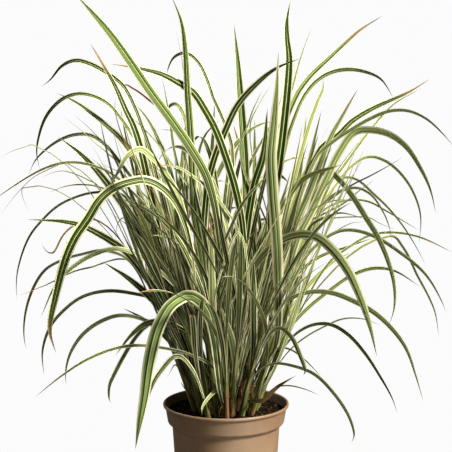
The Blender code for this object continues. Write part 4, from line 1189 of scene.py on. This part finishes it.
blade_finish = Finish("striped_blade", Specular_IOR_Level=0.12)
mask = blade_finish.step
across, run, number, cream, dry, tone_and_painted_light = blade_values(blade_finish)
reach = abs(across * 2 - 1)
spot = blade_finish.node("ShaderNodeCombineXYZ", {}, {"X": across, "Y": run * 0.12, "Z": number * 40})
broad = blade_finish.noise(spot, 5.0, 1.0)
fine = blade_finish.noise(spot, 19.0, 1.0)
hair = blade_finish.noise(spot, 60.0, 0.0)
margin = mask(reach + cream * 0.31 + (broad - 0.5) * 0.16, 0.87, 0.96)
inner = mask(fine + cream * 0.10, 0.71, 0.75) * mask(cream, 0.55, 0.9)
rib = (1 - mask(reach, 0.03, 0.11)) * (1 - mask(run, 0.75, 0.95))
striped = blade_finish.layered(
    DARK_GREEN,
    (mask(fine + tone_and_painted_light * 0.4, 0.64, 0.84), LEAF_GREEN),
    (mask(broad + tone_and_painted_light * 0.6, 0.84, 0.94), MINT),
    (mask(tone_and_painted_light + fine * 0.3, 0.98, 1.2) * 0.7, YELLOW_GREEN),
    # Painted shade: the blades darken towards their roots, deep in the clump
    ((1 - mask(run, 0.05, 0.50)) * 0.80, PAINTED_SHADE_GREEN),
    (inner * 0.7, CREAM),
    (margin, CREAM),
    (rib * 0.85, RIB_WHITE),
    (mask(run + dry * 0.30 + (fine - 0.5) * 0.12, 1.10, 1.22), STRAW_DRY),
    (mask(run + dry * 0.12 + (broad - 0.5) * 0.1, 1.06, 1.10), BROWN_DRY))
blade_finish.feed(blade_finish.shader, {"Base Color": striped, "Roughness": 0.44 + fine * 0.16})
blade_finish.relief(hair, 0.00012)
surface = Value(blade_finish, blade_finish.shader.outputs[0])
through = blade_finish.node("ShaderNodeBsdfTranslucent", {}, {"Color": (*SHINE_THROUGH, 1)})
leafy = blade_finish.node("ShaderNodeMixShader", {}, {0: 0.015 + margin * 0.09, 1: surface, 2: through})
blade_finish.feed(blade_finish.tree.nodes["Material Output"], {"Surface": leafy})

sheath_finish = Finish("leaf_sheath", Roughness=0.55, Specular_IOR_Level=0.3)
mask = sheath_finish.step
across, run, number, _, dry, _ = blade_values(sheath_finish)
spot = sheath_finish.node("ShaderNodeCombineXYZ", {}, {"X": across, "Y": run * 1.1, "Z": number * 40})
streak = sheath_finish.noise(spot, (22, 3, 1), 2.0)
patch = sheath_finish.noise(spot, (5, 4, 1), 2.0)
husky = sheath_finish.mix(mask(streak, 0.38, 0.62), BROWN_DRY, STRAW_DRY)
colour = sheath_finish.layered(
    OLIVE,
    (mask(streak, 0.4, 0.68), OLIVE_PALE),
    (mask(streak, 0.62, 0.7) * 0.5, CREAM),
    (mask(dry * 0.42 - run + (patch - 0.5) * 0.9, 0.0, 0.1), husky))
sheath_finish.feed(sheath_finish.shader, {"Base Color": colour})
sheath_finish.relief(streak, 0.0004)

draw = random.Random(SHOOT_SEED)
for number, stem in enumerate(stems):
    shape, layer = empty_shoot()
    collars = [round((leaf["line"][0] - stem["foot"]).length, 4) for leaf in stem["leaves"]]
    age = draw.random() ** 1.5
    wrap_culm(shape, layer, stem, collars, (draw.random(), 0.5, age, 0.5))
    for face in shape.faces:
        face.material_index = 1
    for leaf in stem["leaves"]:
        leaf["wave"] = draw.uniform(*WAVES)
        cream, dryness, tone_and_painted_light = draw.uniform(*CREAMS), draw.random() ** 2, draw.random() ** 1.2
        if leaf.get("name") in SHOWN_LOOKS:
            cream, dryness, tone_and_painted_light = SHOWN_LOOKS[leaf["name"]]
        # Painted light: a blade reaching out on the right, where the key light falls, is painted paler and
        # yellower
        elif leaf["line"][-1].x > LIT_SIDE_REACH:
            tone_and_painted_light = min(1, tone_and_painted_light + PAINTED_LIGHT_TONE)
        if leaf["width"] < NARROW:
            cream = min(cream, NARROW_CREAM)
        lay_blade(shape, layer, leaf, (draw.random(), cream, dryness, tone_and_painted_light))
    for _ in range(HUSKS):
        height, heading = draw.uniform(*HUSK_HEIGHTS), draw.uniform(0, math.tau)
        length, tip_angle = draw.uniform(*HUSK_LENGTHS), math.radians(draw.uniform(*HUSK_TIPS))
        line = grown_line(stem, height, heading, length, tip_angle, draw.uniform(*HUSK_CURLS))
        husk = {"line": line, "width": draw.uniform(*HUSK_WIDTHS), "turn": None, "heading": heading,
                "twist": draw.uniform(*HUSK_TWISTS), "wave": draw.uniform(*WAVES)}
        lay_blade(shape, layer, husk, (draw.random(), 0.1, draw.uniform(*HUSK_DRYNESS), 0.5))
    bmesh.ops.remove_doubles(shape, verts=shape.verts, dist=1e-6)
    shoot = piece_of(f"shoot_{number + 1:02d}", shape, blade_finish, sheath_finish)
    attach(shoot, "root")
    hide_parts(f"leafy_stem_{number + 1:02d}")


# Fine strands. Hair-thin young blades and dried leaf tips that hang between the broad blades. Each is read
# like the shown blades: its tip's depth and width in millimetres, its cream, dryness and tone, and its line
# in picture pixels, root to tip.
STRAND_TURN = (15, 15, 25)
STRAND_LOWEST = 0.008
STRAND_DEPTH_WEIGHT = 0.4
FINE = {
    "kinked_dry": (-40, 3.0, (0.1, 4.0, 0.5), (
        (175, 120), (158, 107), (150, 101), (140, 93), (132, 88), (125, 85), (121, 90))),
    "brown_left": (-20, 1.6, (0.1, 3.0, 0.5), (
        (134, 158), (129, 148), (124, 140), (120, 130), (117, 120), (115, 110), (115, 103), (116.5, 96))),
    "faint_left": (60, 1.8, (0.3, 1.0, 0.8), (
        (118, 164), (106, 152), (96, 144), (84, 133), (73, 124), (62, 116))),
    "faint_left_low": (90, 1.8, (0.3, 1.0, 0.8), (
        (110, 150), (97, 136), (88, 127), (80, 120), (73, 114))),
    "green_left": (-30, 3.6, (0.3, 0.5, 0.4), (
        (140, 212), (125, 193), (113, 180), (105, 171), (98, 163.5), (90, 157))),
    "slim_left": (20, 2.4, (0.3, 0.5, 0.6), (
        (130, 180), (122, 174), (115, 170), (107, 166.5), (100, 163.5))),
    "far_left_tail": (60, 1.6, (0.3, 2.0, 0.7), (
        (66, 163), (55, 166.5), (45, 171), (38, 174.5), (30, 180), (22, 188), (14, 197), (7, 206),
        (0, 215))),
    "far_left_tip": (80, 1.6, (0.3, 1.0, 0.7), ((33, 145), (25, 147), (15, 150), (8, 153), (0, 158))),
    "far_left_hook": (100, 1.5, (0.3, 2.0, 0.7), ((23, 188), (22, 194), (24, 201), (27, 208), (29, 213))),
    "left_haze": (110, 1.8, (0.3, 1.0, 0.8), (
        (97, 185), (88, 180), (80, 176), (72, 173), (63, 171), (55, 172), (48, 174.5), (41, 177.5))),
    "left_small_arch": (40, 3.0, (0.4, 1.0, 0.6), (
        (125, 203), (115, 195), (108, 190.5), (95, 186), (80, 184.6), (65, 186.5), (48, 193))),
    "tan_middle": (-90, 3.0, (0.2, 0.9, 0.8), (
        (190, 190), (180, 175), (170, 162), (156, 142), (142, 127), (128, 114))),
    "top_slim": (-60, 1.6, (0.3, 1.0, 0.6), ((182, 60), (180, 50), (178, 40), (176, 30))),
    "middle_bend": (-60, 4.5, (0.6, 0.3, 0.5), (
        (198, 160), (201, 145), (206, 134), (212, 127), (220, 120))),
    "middle_right": (60, 3.6, (0.3, 0.4, 0.5), (
        (240, 145), (246, 130), (249, 121), (252, 112), (256, 103), (260, 95), (264, 88))),
    "middle_haze": (120, 2.2, (0.3, 0.6, 0.7), ((250, 125), (257, 108), (262, 99), (267, 91), (272, 85))),
    "right_slim": (-40, 2.7, (0.4, 0.8, 0.5), ((335, 196), (352, 185), (370, 176), (390, 165), (403, 157))),
    "right_grey_slim": (60, 3.0, (0.3, 0.6, 0.3), ((350, 199), (357, 192.5), (364, 187.5), (375, 179))),
    "right_low_arch": (-60, 3.3, (0.5, 0.8, 0.5), (
        (300, 237), (313, 224), (321, 219), (331, 215), (341, 213), (352, 215), (363, 218.5))),
    "right_low_slim": (20, 1.8, (0.4, 0.6, 0.6), (
        (330, 236), (338, 230), (345, 226), (352, 223), (360, 222), (366, 222))),
    "right_tail": (40, 2.2, (0.4, 1.0, 0.6), ((366, 217), (380, 223.5), (396, 230))),
    "low_right_slim": (-40, 2.7, (0.5, 1.0, 0.6), (
        (280, 362), (289, 351), (298, 342.7), (308, 335.5), (318, 329.7), (327, 325.3), (336, 321),
        (345, 318.5), (354, 318), (364, 319.2), (381, 325.5))),
    "low_right_drop": (-80, 3.0, (0.5, 1.0, 0.5), (
        (272, 352), (279, 348), (289, 349), (298, 354), (306.7, 361.5), (315, 370), (322, 378))),
    "low_right_wisp": (-90, 2.2, (0.4, 1.5, 0.6), (
        (258, 408), (263, 400), (270, 391.5), (277, 387), (284, 385.7), (292, 386), (301, 388),
        (311, 391.5), (320, 396))),
    "far_left_arch": (-60, 2.6, (0.5, 1.0, 0.5), (
        (140, 268), (130, 261), (119.6, 259), (111, 260.6), (101, 263.8), (92, 267), (81, 269.4),
        (72, 272.3), (57.6, 279.3), (46, 285), (36, 289), (28.8, 292.2), (18.7, 295.5))),
    "dried_curl": (20, 3.0, (0.1, 3.2, 0.5), (
        (90, 218), (80, 222), (72, 226.7), (65, 233), (60, 240.5), (56.5, 248), (53, 252.7), (49, 252.7),
        (44.5, 249), (41, 242))),
    "left_wisp": (40, 1.8, (0.3, 1.5, 0.6), ((130, 219), (122, 218.3), (118, 223), (116, 232), (115, 241))),
    "straw_at_rim": (-88, 1.8, (0.1, 3.0, 0.6), ((225.5, 400.4), (222.7, 405.6), (220.4, 410), (218, 417))),
    "dry_at_foot": (-80, 2.2, (0.1, 6.0, 0.5), (
        (190, 392), (187, 382.6), (183, 375), (178, 367), (175, 365), (171, 370.5), (166.5, 379))),
}


def nearest_culm(pixels, depth):
    """The stem, and the height on it, from which a strand seen there would come."""
    choices = []
    for number, stem in enumerate(stems):
        height = min(max(wanted_height(stem, pixels), STRAND_LOWEST), stem["height"])
        place = culm_point(stem, height)
        gap = (seen_point(pixels[0], place.y) - place).length
        behind = abs(place.y - ROOT_DEPTH * depth)
        choices.append((gap + STRAND_DEPTH_WEIGHT * behind, number, height))
    return min(choices)[1:]


strands, layer = empty_shoot()
for depth, width, looks, pixels in FINE.values():
    owner, height = nearest_culm(pixels, depth / 1000)
    line = traced_line(stems[owner], height, depth / 1000, pixels)
    strand = {"line": line, "width": width / 1000, "turn": STRAND_TURN, "wave": draw.uniform(*WAVES)}
    lay_blade(strands, layer, strand, (draw.random(), *looks))
strands = piece_of("fine_strands", strands, blade_finish)
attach(strands, "root")


# Studio. A white paper sweep that curves up into its own wall and lights nothing. Soft light comes from
# high on the right and from overhead, back up off the paper, and weakly from behind on the left. Only
# the floor near the pot takes a shadow. The camera stands where the photographer's did.
SWEEP_NEAR = (0, 0.5, 1.5)
SWEEP_FLAT = 3.5
SWEEP_CURVE = 2.5
SWEEP_HEIGHT = 7.0
SWEEP_RINGS = 12
SWEEP_STEPS = 96
PAPER_WHITE = (0.81, 0.81, 0.81)
PAPER_NEAR = (0.50, 0.50, 0.50)
PAPER_TAKES = (0.22, 0.22, 0.22)
BLACK = (0.0, 0.0, 0.0)
NEAR_POT = (0.10, 0.30)
SKY_STRENGTH = 0.075
sweep_line = [(radius, 0) for radius in SWEEP_NEAR]
for ring in range(SWEEP_RINGS + 1):
    angle = math.tau / 4 * ring / SWEEP_RINGS
    sweep_line.append((SWEEP_FLAT + SWEEP_CURVE * math.sin(angle), SWEEP_CURVE * (1 - math.cos(angle))))
sweep_line.append((SWEEP_FLAT + SWEEP_CURVE, SWEEP_HEIGHT))
paper = Finish("white_paper", Roughness=1.0, Specular_IOR_Level=0.0)
away = paper.node("ShaderNodeVectorMath", {"operation": "LENGTH"}, {0: paper.place()}, "Value")
far = paper.step(away, *NEAR_POT)
paper.feed(paper.shader, {"Base Color": paper.mix(far, PAPER_TAKES, BLACK),
                          "Emission Color": paper.mix(far, PAPER_NEAR, PAPER_WHITE),
                          "Emission Strength": 1.0})
floor = piece_of("floor", turned(sweep_line, SWEEP_STEPS), paper)
floor.visible_diffuse = False
floor.visible_glossy = False
floor.visible_transmission = False
floor.visible_shadow = False

# Each light's direction and softness are in degrees
for name, azimuth, elevation, energy, softness, colour in (
    ("key_light", 58, 40, 6.7, 14, (1.0, 0.985, 0.955)),
    ("top_light", -20, 70, 0.5, 90, (1.0, 1.0, 0.99)),
    ("floor_bounce", 35, -38, 1.25, 70, (1.0, 0.99, 0.97)),
    ("rim_light", -112, 24, 0.75, 30, (0.97, 0.985, 1.0)),
):
    light = bpy.data.objects.new(name, bpy.data.lights.new(name, "SUN"))
    light.data.energy = energy
    light.data.angle = math.radians(softness)
    light.data.color = colour
    light.rotation_euler = (math.radians(90 - elevation), 0, math.radians(azimuth))
    bpy.context.scene.collection.objects.link(light)

world = bpy.data.worlds.new("studio")
world.use_nodes = True
sky = world.node_tree.nodes["Background"]
sky.inputs["Color"].default_value = (1, 1, 1, 1)
sky.inputs["Strength"].default_value = SKY_STRENGTH
bpy.context.scene.world = world
bpy.context.scene.view_settings.view_transform = "Standard"
bpy.context.scene.view_settings.look = "Medium High Contrast"

camera = bpy.data.objects.new("camera", bpy.data.cameras.new("camera"))
camera.location = EYE
camera.rotation_euler = (math.pi / 2 - EYE_PITCH, 0, 0)
camera.data.lens = EYE_FOCAL * camera.data.sensor_width / (2 * PICTURE_MIDDLE)
bpy.context.scene.collection.objects.link(camera)
bpy.context.scene.camera = camera
